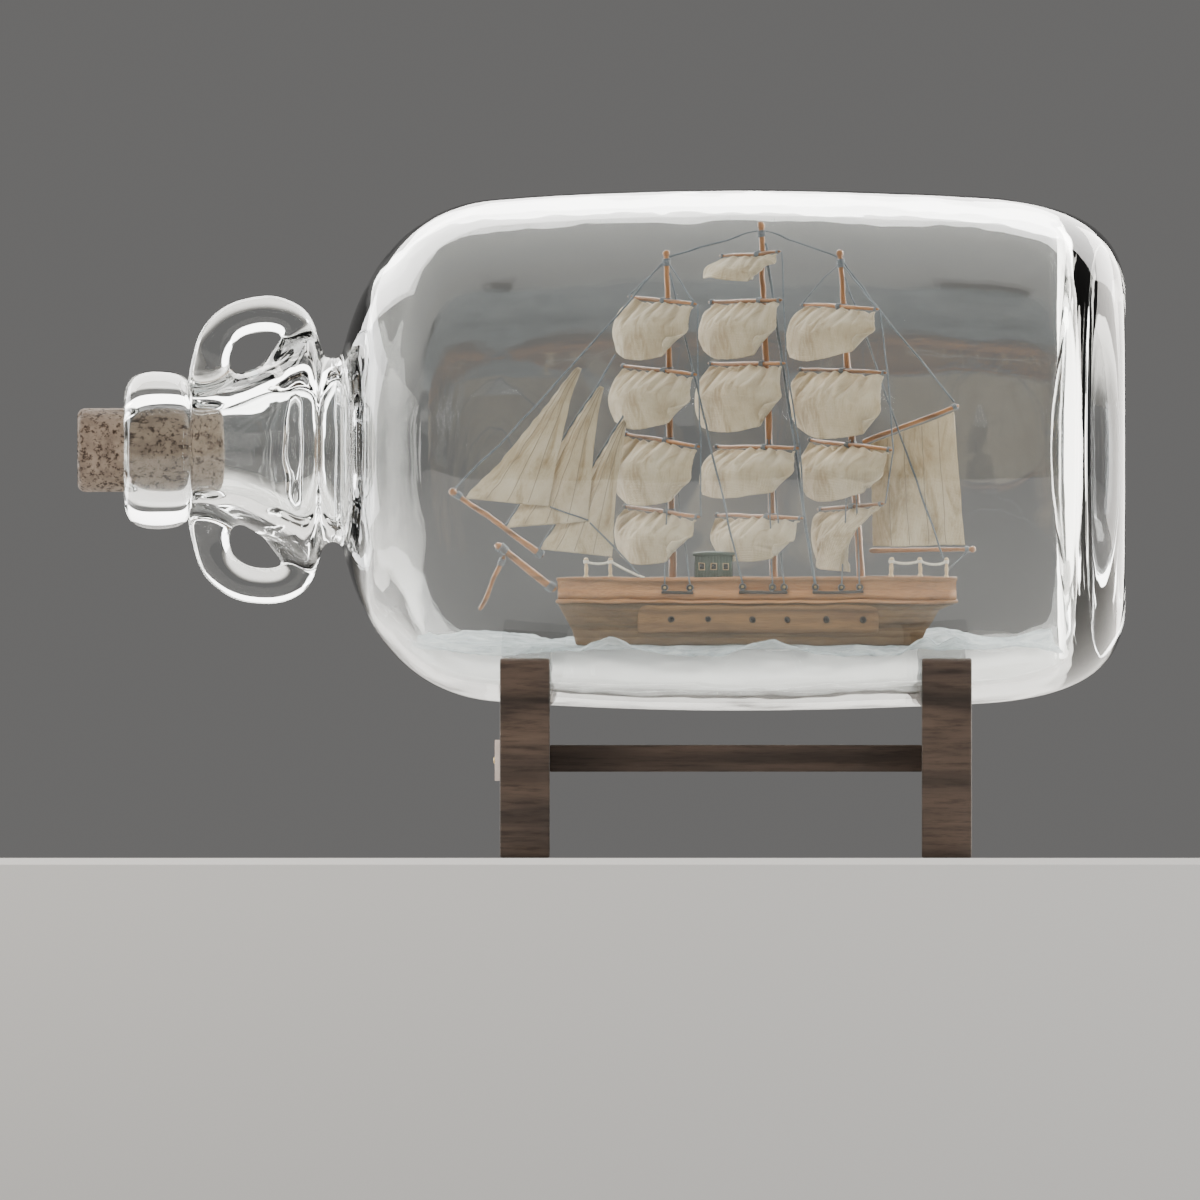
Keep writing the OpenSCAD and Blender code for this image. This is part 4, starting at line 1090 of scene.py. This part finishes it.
def make_channels():
    bars, eyes, beads, strops = Soup(), Soup(), Soup(), Soup()
    for side in (-1, 1):
        for a, b in ((-28, -18.5), (-4.5, 10), (17.6, 33.2)):
            y = sorted((side * (BEAM - 0.1), side * (BEAM + 1.5)))
            bars.block((a, y[0], 14), (b, y[1], 14.9), 0.18)
        for x in DEADEYE_X:
            at = Vector((x, side * (EYE_Y - 0.5), 15.9))
            eyes.turned(at, (0, side, 0), EYE_PROFILE, 28)
            beads.turned(at + Vector((0, side * 0.98, 0)), (0, side, 0),
                         [[0, 0.42], [0.16, 0.4], [0.3, 0.3], [0.38, 0.12], [0.4, 0.02]], 18)
            turns(strops, (x, side * (EYE_Y - 0.12), 15.9), (x, side * (EYE_Y + 0.12), 15.9), 0.82, 2, 0.16)
            turns(strops, (x, side * EYE_Y, 14.85), (x, side * EYE_Y, 15.1), 0.28, 2, 0.16)
    bars.on_ship("channel_boards", DARK_FITTING, "dark_fitting", "channels")
    eyes.on_ship("grooved_deadeyes", DARK_FITTING, "dark_fitting", "deadeyes")
    beads.on_ship("deadeye_beads", BRASS, "brass")
    strops.on_ship("deadeye_strops", THREAD, "thread")


# ---------------------------------------------------------------- spars
FORE = (Vector((-24.5, 0, DECK_Z)), Vector((-26.4, 0, 116)))
MAIN = (Vector((6, 0, DECK_Z)), Vector((2.1, 0, 124.5)))
MIZZEN = (Vector((32.5, 0, DECK_Z)), Vector((26.1, 0, 116)))
MASTS = {"fore": FORE, "main": MAIN, "mizzen": MIZZEN}
MAST_R, YARD_R = 1.25, 0.62
STAND_OFF = (MAST_R + YARD_R + 0.05) / math.sqrt(2)
# Each yard: far end, its height, near end, its height
YARDS = {
    "fore": [[-38, 103, -17.5, 100.5], [-40, 82.5, -17.5, 79.5], [-39.5, 62, -16.5, 58], [-39.5, 40, -16.5, 37]],
    "main": [[-10.5, 115.5, 8, 116], [-13.5, 101.5, 8.5, 102], [-14, 83, 9.5, 83], [-12, 58, 13.5, 57.5],
             [-12, 37.5, 15, 36.5]],
    "mizzen": [[14, 101, 37.5, 99], [13.5, 81.5, 40, 80], [16.5, 60, 41.5, 57], [19.5, 39, 39, 41]]}


def mast_x(m, z):
    return m[0].x + (m[1].x - m[0].x) * (z - m[0].z) / (m[1].z - m[0].z)


def yard_point(m, x, z):
    return Vector((x, mast_x(m, z) - 2 * STAND_OFF - x, z))


def yard_ends(m, y):
    return yard_point(m, y[0], y[1]), yard_point(m, y[2], y[3])


def spar(soup, a, b, r_a, r_b, full=0.0, seed=0.0):
    """A hand-whittled spar with rounded ends; full thickens its middle."""
    a, b = Vector(a), Vector(b)
    length = (b - a).length
    n = max(24, int(length / 0.9))
    pts = []
    for i in range(n + 1):
        t = i / n
        bow = Vector((wobble((t * 3, seed, 0), 1.0), wobble((t * 3, seed, 5), 1.0), 0)) * 0.1
        pts.append(a.lerp(b, t) + bow * math.sin(math.pi * t))

    def radius(t, ang):
        end = min(t, 1 - t) * length
        r = r_a + (r_b - r_a) * t + full * math.sin(math.pi * t)
        flat = 1 + 0.035 * wobble((t * length / 5, math.cos(ang), math.sin(ang) + seed), 1.0)
        return r * flat * (0.55 + 0.45 * min(1.0, end / 0.5) ** 0.5)
    soup.tube(pts, radius, 16)


def ball(soup, at, axis, r):
    """A turned ball on the end of a spar."""
    profile = [[-r * math.cos(a), max(r * math.sin(a), 0.02)] for a in (math.pi * i / 14 for i in range(15))]
    soup.turned(at, axis, profile, 24)


def make_masts():
    for i, (name, m) in enumerate(MASTS.items()):
        soup = Soup()
        spar(soup, m[0] - Vector((0, 0, 0.1)), m[1], MAST_R, MAST_R * 0.65, seed=i * 2.0)
        ball(soup, m[1], m[1] - m[0], 1.1)
        soup.turned(m[0] - Vector((0, 0, 0.02)), m[1] - m[0], [[0, 1.2], [0, 2.1], [0.4, 2.1], [0.75, 1.75],
                                                                [1.1, 1.35], [1.2, 1.2]], 28)
        soup.on_ship(name + "_mast_pole", SPAR_WOOD, "spar_wood", name + "_mast")
        yards = Soup()
        for j, y in enumerate(YARDS[name]):
            a, b = yard_ends(m, y)
            spar(yards, a, b, YARD_R * 0.72, YARD_R * 0.72, full=YARD_R * 0.3, seed=i * 5 + j * 1.3)
        yards.on_ship(name + "_yard_set", BOOM_WOOD, "spar_wood", name + "_yards")


def make_booms():
    for name, node, a, b, ra, rb, knob in (
            ("bowsprit_spar", "bowsprit", (-59.6, 0, 14.5), (-77.5, 0, 28.8), 1.35, 1.0, 0),
            ("jib_boom_spar", "jib_boom", (-63.5, 0, 25), (-89, 0, 44.5), 1.0, 0.7, 1.2),
            ("dolphin_striker", "martingale", (-75, 0, 25.2), (-81.5, 0, 9), 0.7, 0.5, 0),
            ("gaff_spar", "gaff", (32.8, 0, 59.2), (61.8, 0, 70.4), 0.8, 0.6, 0),
            ("spanker_boom_spar", "spanker_boom", (35, 0, 26.8), (66.5, 0, 27.3), 0.8, 0.6, 1.0)):
        soup = Soup()
        spar(soup, a, b, ra, rb, seed=a[0])
        if knob:
            ball(soup, b, Vector(b) - Vector(a), knob)
        soup.on_ship(name, BOOM_WOOD, "spar_wood", node)


def make_lashings():
    soup = Soup()
    for name, m in MASTS.items():
        low = Vector((mast_x(m, m[1].z - 4), 0, m[1].z - 4))
        turns(soup, low, low.lerp(m[1], 0.62), 0.86, 5)
        for y in YARDS[name]:
            a, b = yard_ends(m, y)
            axis = (b - a).normalized()
            z = (y[1] + y[3]) / 2
            middle = a.lerp(b, (mast_x(m, z) - STAND_OFF - a.x) / (b.x - a.x))
            turns(soup, middle - axis * 0.9, middle + axis * 0.9, YARD_R * 1.02, 4, 0.2)
            turns(soup, Vector((mast_x(m, z - 0.7), 0, z - 0.7)), Vector((mast_x(m, z + 0.7), 0, z + 0.7)),
                  1.22 - 0.4 * z / 120, 3, 0.2)
            for end, way in ((a, axis), (b, -axis)):
                turns(soup, end + way * 0.8, end + way * 1.7, YARD_R * 0.8, 3, 0.17)
    for x0, z0, x1, z1, r, n in ((-74.5, 26.4, -76.6, 28.1, 1.15, 4), (-60.3, 15.1, -62.2, 16.6, 1.4, 4),
                                 (-63.9, 25.3, -65.4, 26.5, 1.0, 4), (-75.4, 24.3, -76.2, 22.3, 0.68, 4),
                                 (-86.6, 42.7, -88, 43.8, 0.76, 4), (60, 69.7, 61.2, 70.2, 0.64, 3),
                                 (64, 27.3, 65.2, 27.3, 0.66, 3)):
        turns(soup, (x0, 0, z0), (x1, 0, z1), r, n)
    soup.on_ship("thread_lashings", THREAD, "thread", "lashings")


# ---------------------------------------------------------------- rigging, along the same points as the CAD ropes
JIB_HEAD = [(-53, 0, 81.8), (-46.4, 0, 76.4), (-39.3, 0, 66)]
JIB_TACK = [(-85.4, 0, 42.2), (-74.4, 0, 33.6), (-64.4, 0, 27)]
JIB_CLEW = [(-61.8, -5, 40), (-49.8, -5, 35.4), (-42.6, -5, 25)]


def make_rigging():
    sets = {node: Soup() for node in ("head_stays", "mast_stays", "shrouds", "backstays", "yard_lifts",
                                      "sheets")}
    head = sets["head_stays"]
    rope(head, [(-27.6, 0, 113), (-45, 0, 93), (-88.4, 0, 45.3)])
    rope(head, [(-41.5, 0, 85.5), (-46.4, 0, 77.6), (-75.2, 0, 33.4)])
    rope(head, [(-39.2, 0, 67.4), (-64.9, 0, 27)])
    stays = sets["mast_stays"]
    rope(stays, [(1.2, 0, 122.9), (-25.4, 0, 115)])
    rope(stays, [(3.0, 0, 122.9), (25.1, 0, 115)])
    rope(stays, [(26.9, 0, 114), (38.2, 0, 98.6), (60.4, 0, 71.4)])
    for side in (-1, 1):
        for m, feet in ((FORE, (-27, -19.5)), (MAIN, (5.5, 9)), (MIZZEN, (26.5, 32))):
            for shift, x in zip((-0.5, 0.5), feet):
                top = (mast_x(m, 60) + shift, side * 1.3, 60)
                rope(sets["shrouds"], [top, (x, side * EYE_Y, EYE_Z)], THIN)
        back = sets["backstays"]
        rope(back, [(-25.4, side * 1.1, 110), (-3.5, side * EYE_Y, EYE_Z)])
        rope(back, [(3.4, side * 1.1, 119), (18.5, side * EYE_Y, EYE_Z)], THICK)
        rope(back, [(27.5, side * 1.1, 109), (57, side * (side_y(57) - 0.2), 24.4)])
    lifts = sets["yard_lifts"]
    for name in ("fore", "mizzen"):
        m = MASTS[name]
        top = m[1] - Vector((0, 0, 3.4))
        far, near = yard_ends(m, YARDS[name][0])
        rope(lifts, [top + Vector((-0.9, 0.4, 0)), far + Vector((0.8, -0.8, 0.7))], THIN)
        rope(lifts, [top + Vector((0.9, -0.4, 0)), near + Vector((-0.8, 0.8, 0.7))], THIN)
    for name, m in MASTS.items():
        rope(lifts, [yard_ends(m, y)[1] + Vector((0.4, -0.4, 0)) for y in YARDS[name]], THIN)
    slips = sets["sheets"]
    rope(slips, [Vector(JIB_CLEW[1]) + Vector((0.4, -0.6, -0.3)), (-34.5, -8.4, TOP_Z + 1)], 0.24)
    rope(slips, [Vector(JIB_CLEW[0]) + Vector((0.4, -0.6, 0)),
                 Vector(JIB_CLEW[1]) + Vector((0, -0.6, 0.4))], THIN)
    rope(slips, [(64.5, 0, 26.5), (58, 0, 20.5)], 0.24)
    for node, soup in sets.items():
        soup.on_ship("laid_" + node, THREAD, "thread", node)


make_hull()
make_side_panels()
make_deck()
make_deck_house()
make_portholes()
make_rails()
make_channels()
make_masts()
make_booms()
make_lashings()
make_rigging()


# ---------------------------------------------------------------- sails: hung between corners, blown by a wind
SAIL_T, HEM, HEM_T = 0.2, 1.0, 0.14
WIND = Vector((-1, -1, 0)).normalized()
LEE = Vector((0, -1, 0))
# The cloth is blown at a hundred times its size, where the solver is steady
SIM = 100.0
SIM_FRAMES = 26
SIM_GRAVITY = (-5.5, -6.5, -2.0)
NU, NV = 34, 34
# How much longer the cut is than the span it hangs on
SQUARE_SLACK, OTHER_SLACK = 0.11, 0.012
# Reach in mm and direction across the cloth of the roll at a lower corner
CURL_REACH, CURL_U, CURL_V = 6.5, 0.72, 0.69
# Foot of each square sail: far corner, its height, near corner, its height, then the depth of its belly
SQUARE_SAILS = {
    "fore_royal": ("fore", 0, [-39.5, 86.5, -20, 87], 5),
    "fore_topgallant": ("fore", 1, [-40, 65.5, -19, 67], 5.5),
    "fore_topsail": ("fore", 2, [-39, 43, -19, 43.5], 5.5),
    "fore_course": ("fore", 3, [-38.5, 25, -19, 25], 4),
    "main_skysail": ("main", 0, [-13.5, 109, 5.5, 107], 2.5),
    "main_royal": ("main", 1, [-13.5, 87, 7.5, 87], 5),
    "main_topgallant": ("main", 2, [-14, 64, 10, 66], 5.5),
    "main_topsail": ("main", 3, [-13.5, 43.5, 12.5, 45.5], 5),
    "main_course": ("main", 4, [-9.5, 26, 11.5, 25], 4),
    "mizzen_royal": ("mizzen", 0, [13, 85, 37, 88], 5),
    "mizzen_topgallant": ("mizzen", 1, [15, 64, 39, 62.5], 5),
    "mizzen_topsail": ("mizzen", 2, [18, 43, 38, 46], 5),
    "crossjack": ("mizzen", 3, [21, 24, 32, 22], 2.5)}
JIBS = ("flying_jib", "outer_jib", "inner_jib")


def sail_corners(name):
    """Head corners, foot corners, depth of the belly and the side that the wind blows it to."""
    if name in SQUARE_SAILS:
        mast, row, foot, depth = SQUARE_SAILS[name]
        m, y = MASTS[mast], YARDS[mast][row]
        drop = Vector((0, 0, -YARD_R - 0.3))
        return (yard_point(m, y[0] + 1, y[1]) + drop, yard_point(m, y[2] - 1, y[3]) + drop,
                yard_point(m, foot[0], foot[1]) + 2.4 * WIND,
                yard_point(m, foot[2] + 1.2, foot[3] + 0.8) + 0.8 * WIND, depth, WIND)
    if name in JIBS:
        i = JIBS.index(name)
        head = Vector(JIB_HEAD[i])
        return (head, head + Vector((1.2, 0, -0.6)), Vector(JIB_TACK[i]), Vector(JIB_CLEW[i]), 1.5, LEE)
    return (Vector((35.2, 0, 58.6)), Vector((60.4, 0, 68.4)),
            Vector((36.2, 0, 28.2)), Vector((64, 0, 28.6)), 2, LEE)


def sail_start(name):
    """Where each point of the cloth starts, row by row from the head."""
    a, b, c, d, depth, side = sail_corners(name)
    rows = []
    for j in range(NV + 1):
        v = j / NV
        row = []
        for i in range(NU + 1):
            u = i / NU
            p = (a.lerp(b, u)).lerp(c.lerp(d, u), v)
            belly = math.sin(math.pi * v ** 0.8) * (0.25 + 0.75 * math.sin(math.pi * u))
            p = p + side * (depth * belly)
            if name in SQUARE_SAILS:
                p.z -= 2.2 * math.sin(math.pi * u) * v ** 2
            row.append(twisted(p, u, v) if name == "crossjack" else p)
        rows.append(row)
    return rows


def twisted(p, u, v):
    """The near part of the lowest mizzen sail is wrung into a rag that hangs from the end of its yard."""
    share = max(0.0, (u - 0.45) / 0.55)
    middle = [lookup(v, table) for table in (((0, 39), (0.4, 34), (1, 29.5)), ((0, -12), (0.4, -8), (1, -5)),
                                             ((0, 41), (0.4, 33), (1, 20.5)))]
    turn = math.radians(260) * v
    width = 2.6 + 2.5 * v
    rag = Vector(middle) + Vector((math.cos(turn), math.sin(turn), 0)) * (share - 0.5) * width
    return p.lerp(rag, smooth_step(share * 2.2) * smooth_step(v / 0.22))


def row_length(points):
    return sum((b - a).length for a, b in zip(points, points[1:]))




def cut_size(rows):
    """Mean width and height of the flat cut, in the ship's millimetres."""
    widths = [row_length(r) for r in rows[::4]]
    columns = [row_length([r[i] for r in rows]) for i in (0, NU // 4, NU // 2, 3 * NU // 4, NU)]
    return max(widths), max(columns)


def pinned(name, i, j):
    """How firmly a point is held: at the spar or stay it hangs from, and at its corners."""
    head, foot, left, right = j == 0, j == NV, i == 0, i == NU
    if name in SQUARE_SAILS:
        return (head and i % 4 == 1) or (head and (left or right)) or (foot and (left or right))
    if name in JIBS:
        return head or (left and j % 3 == 0) or (foot and (left or right))
    return (head and i % 3 == 0) or (left and j % 4 == 0) or (foot and (left or right))


def hang_sails(starts):
    """One simulation of all the sails together, at a hundred times their size."""
    helpers = {}
    for name, rows in starts.items():
        w = NU + 1
        verts = [ship(p) * SIM for row in rows for p in row]
        title = "hanging_" + name
        obj = bpy.data.objects.new(title, mesh_from(title, verts, grid_faces(NU, NV)))
        bpy.context.scene.collection.objects.link(obj)
        group = obj.vertex_groups.new(name="held")
        held = [j * w + i for j in range(NV + 1) for i in range(NU + 1) if pinned(name, i, j)]
        group.add(held, 1.0, "REPLACE")
        cloth = modifier(obj, "CLOTH")
        s = cloth.settings
        s.quality = 7
        s.mass = 0.25
        s.tension_stiffness = s.compression_stiffness = 18
        s.shear_stiffness = 6
        s.bending_stiffness = 0.35
        s.air_damping = 3.0
        s.vertex_group_mass = "held"
        s.shrink_min = -SQUARE_SLACK if name in SQUARE_SAILS else -OTHER_SLACK
        cloth.collision_settings.use_collision = False
        cloth.point_cache.frame_start = 1
        cloth.point_cache.frame_end = SIM_FRAMES
        helpers[name] = obj
    scene = bpy.context.scene
    still = scene.gravity.copy()
    scene.gravity = SIM_GRAVITY
    for f in range(1, SIM_FRAMES + 1):
        scene.frame_set(f)
    graph = bpy.context.evaluated_depsgraph_get()
    w, hung = NU + 1, {}
    for name, obj in helpers.items():
        mesh = obj.evaluated_get(graph).to_mesh()
        pts = [(v.co / SIM - SHIP_AT) / SHIP_K for v in mesh.vertices]
        hung[name] = [pts[j * w:(j + 1) * w] for j in range(NV + 1)]
        obj.evaluated_get(graph).to_mesh_clear()
    for obj in helpers.values():
        bpy.data.objects.remove(obj)
    scene.gravity = still
    scene.frame_set(1)
    return hung


def finer(line):
    """Twice as many points, the new ones on a smooth curve through the old."""
    out = []
    last = len(line) - 1
    for i in range(last):
        p0, p1, p2, p3 = line[max(i - 1, 0)], line[i], line[i + 1], line[min(i + 2, last)]
        out += [p1, (9 * (p1 + p2) - p0 - p3) / 16]
    return out + [line[last]]


def between(rows, u, v):
    """The point of the cloth at two shares, each from 0 to 1."""
    nv, nu = len(rows) - 1, len(rows[0]) - 1
    x, y = max(u, 0) * nu, max(v, 0) * nv
    i, j = min(int(x), nu - 1), min(int(y), nv - 1)
    return rows[j][i].lerp(rows[j][i + 1], x - i).lerp(rows[j + 1][i].lerp(rows[j + 1][i + 1], x - i), y - j)


def curled(rows, width, height, seed):
    """The near lower corner of a square sail has rolled itself up like a scroll, towards the near side."""
    nv, nu = len(rows) - 1, len(rows[0]) - 1
    reach = CURL_REACH + 1.2 * wobble((seed, 0.4, 1.3), 1.0)
    turn_r = 1.35 + 0.3 * wobble((0.2, seed, 2.1), 1.0)
    out = [list(row) for row in rows]
    for j in range(nv + 1):
        for i in range(nu + 1):
            u, v = i / nu, j / nv
            past = reach - CURL_U * (1 - u) * width - CURL_V * (1 - v) * height
            if past <= 0:
                continue
            u, v = u - CURL_U * past / width, v - CURL_V * past / height
            fold = between(rows, u, v)
            along = (fold - between(rows, u - CURL_U / width, v - CURL_V / height)).normalized()
            crease = between(rows, u + 0.04, v - 0.04) - between(rows, u - 0.04, v + 0.04)
            face = along.cross(crease).normalized()
            if face.y > 0:
                face = -face
            turn = past / turn_r
            out[j][i] = fold + along * (turn_r * math.sin(turn)) + face * (turn_r * (1 - math.cos(turn)))
    return out


def sewn_thickness(u, v, width, height, seams):
    """Half the thickness of the cloth: doubled at the hems and where two cloths are sewn together."""
    edge = min(u, 1 - u) * width, min(v, 1 - v) * height
    t = SAIL_T
    near_edge = min(edge)
    t += HEM_T * smooth_step((HEM - near_edge) / 0.3)
    if seams:
        place = u * seams
        off = abs(place - round(place)) / seams * width
        if 0 < round(place) < seams:
            t += HEM_T * smooth_step((0.55 - off) / 0.3)
    return t / 2


def sew(name, rows, width, height, seams):
    rows = [finer(r) for r in rows]
    columns = [finer(list(c)) for c in zip(*rows)]
    rows = [list(r) for r in zip(*columns)]
    nv, nu = len(rows) - 1, len(rows[0]) - 1
    seed = 0.7 * sum(ord(c) for c in name)
    if name in SQUARE_SAILS and name != "crossjack":
        rows = curled(rows, width, height, seed)
    front, back, uvs = [], [], []
    for j in range(nv + 1):
        for i in range(nu + 1):
            u, v = i / nu, j / nv
            p = rows[j][i].copy()
            du = rows[j][min(i + 1, nu)] - rows[j][max(i - 1, 0)]
            dv = rows[min(j + 1, nv)][i] - rows[max(j - 1, 0)][i]
            normal = du.cross(dv)
            normal = normal.normalized() if normal.length > 1e-9 else LEE
            p += normal * 0.05 * wobble((u * width, v * height, seed), 1.7)
            ragged = 0.13 * wobble((i * 0.7, j * 0.7, seed), 1.0)
            ragged += 0.06 * wobble((i * 2.3, j * 2.3, seed), 1.0)
            if j == nv:
                p += dv.normalized() * ragged
            if i in (0, nu) and name in SQUARE_SAILS:
                p += du.normalized() * (ragged if i else -ragged)
            half = sewn_thickness(u, v, width, height, seams)
            front.append(p + normal * half)
            back.append(p - normal * half)
            uvs.append((u * width, v * height))
    w, k = nu + 1, (nu + 1) * (nv + 1)
    faces = grid_faces(nu, nv)
    faces = [f[::-1] for f in faces] + [[i + k for i in f] for f in faces]
    faces += [[a, b, b + k, a + k] for a, b in grid_rim(nu, nv)]
    mesh = mesh_from(name + "_cloth", [ship(p) for p in front + back], faces)
    layer = mesh.uv_layers.new(name="cut")
    for loop in mesh.loops:
        layer.data[loop.index].uv = uvs[loop.vertex_index % k]
    obj = add_object(name + "_cloth", outward(mesh), "jug", SAILCLOTH)
    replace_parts(obj, name)
    stitches = Soup()
    for seam in range(1, seams):
        i = round(seam * nu / seams)
        for face in (front, back):
            stitches.tube([face[j * w + i] for j in range(1, nv, 2)], 0.11, 5)
    if not seams:
        return obj, []
    return obj, [stitches.on_ship(name + "_stitches", STITCH, "sailcloth")]


def make_sails():
    starts = {name: sail_start(name) for name in [*SQUARE_SAILS, *JIBS, "spanker"]}
    hung = hang_sails(starts)
    for name, rows in starts.items():
        width, height = cut_size(rows)
        seams = 0 if name in SQUARE_SAILS else (5 if name == "spanker" else 4)
        sail, stitches = sew(name, hung[name], width, height, seams)


make_sails()


# ---------------------------------------------------------------- sea: one crumpled film, its edge along the glass
NEAR_CREST = [[-108, 2], [-90, -0.5], [-76, -1.6], [-52, -1.6], [-43.5, 3], [-36, 0.5], [-22, -2],
              [-10, -3], [6, 1.8], [18, -1], [32, -2.2], [43.5, -2.4], [51.5, 2.4], [55, 0.6], [60, 3],
              [69, 0.6], [80, 1.6], [92, -1.5]]
FAR_CREST = [[-108, 0], [-80, 2], [-62, -1.5], [-40, 1], [-20, 3], [0, -2], [22, 1.5], [40, -1],
             [58, 2.5], [75, -1], [92, 1]]
FILM_T, FILM_GAP, HULL_FOOT = 0.16, 0.3, -1.6


def make_sea():
    lo, hi = (Vector(c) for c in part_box("sea_sheet"))
    nu, nv = 300, 110
    front, back = [], []
    for j in range(nv + 1):
        v = 2 * j / nv - 1
        for i in range(nu + 1):
            x = lo.x + (hi.x - lo.x) * i / nu
            s = (x - SHIP_AT.x) / SHIP_K
            near = smooth_step((abs(v) - 0.3) / 0.7)
            crest = lookup(s, NEAR_CREST if v < 0 else FAR_CREST)
            ripple = 0.7 * math.sin(math.radians(x / MM * 7 + v * 200)) * smooth_step((abs(v) - 0.25) / 0.3)
            at = Vector((s, v * 60, 0))
            crumple = abs(wobble(at, 9.0, 1.0)) * 1.6 + abs(wobble(at, 3.6, 4.0)) * 0.8
            crumple += wobble(at, 1.5, 8.0) * 0.22
            crumple = (crumple - 0.6) * smooth_step((abs(v) - 0.2) / 0.25)
            z_s = HULL_FOOT * (1 - 0.8 * near) + crest * near + ripple + crumple * 0.8
            z = SHIP_AT.z + z_s * SHIP_K
            z = min(max(z, lo.z + 0.2 * MM), hi.z - 0.1 * MM)
            reach = math.sqrt(max(inner_radius(x) ** 2 - (AXIS_Z - z + 0.2 * MM) ** 2, 1e-8))
            reach -= FILM_GAP * MM
            ragged = 0.35 * MM * wobble((s, v, 0), 1.6, 3.0) if j in (0, nv) else 0.0
            p = Vector((x, v * (reach - abs(ragged)), z))
            front.append(p + Vector((0, 0, FILM_T / 2 * MM)))
            back.append(p - Vector((0, 0, FILM_T / 2 * MM)))
    k = (nu + 1) * (nv + 1)
    faces = grid_faces(nu, nv)
    faces += [[i + k for i in f[::-1]] for f in faces]
    faces += [[b, a, a + k, b + k] for a, b in grid_rim(nu, nv)]
    mesh = outward(mesh_from("crumpled_sea_film", front + back, faces))
    sea = add_object("crumpled_sea_film", mesh, "jug", SEA)
    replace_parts(sea, "sea_sheet")


make_sea()
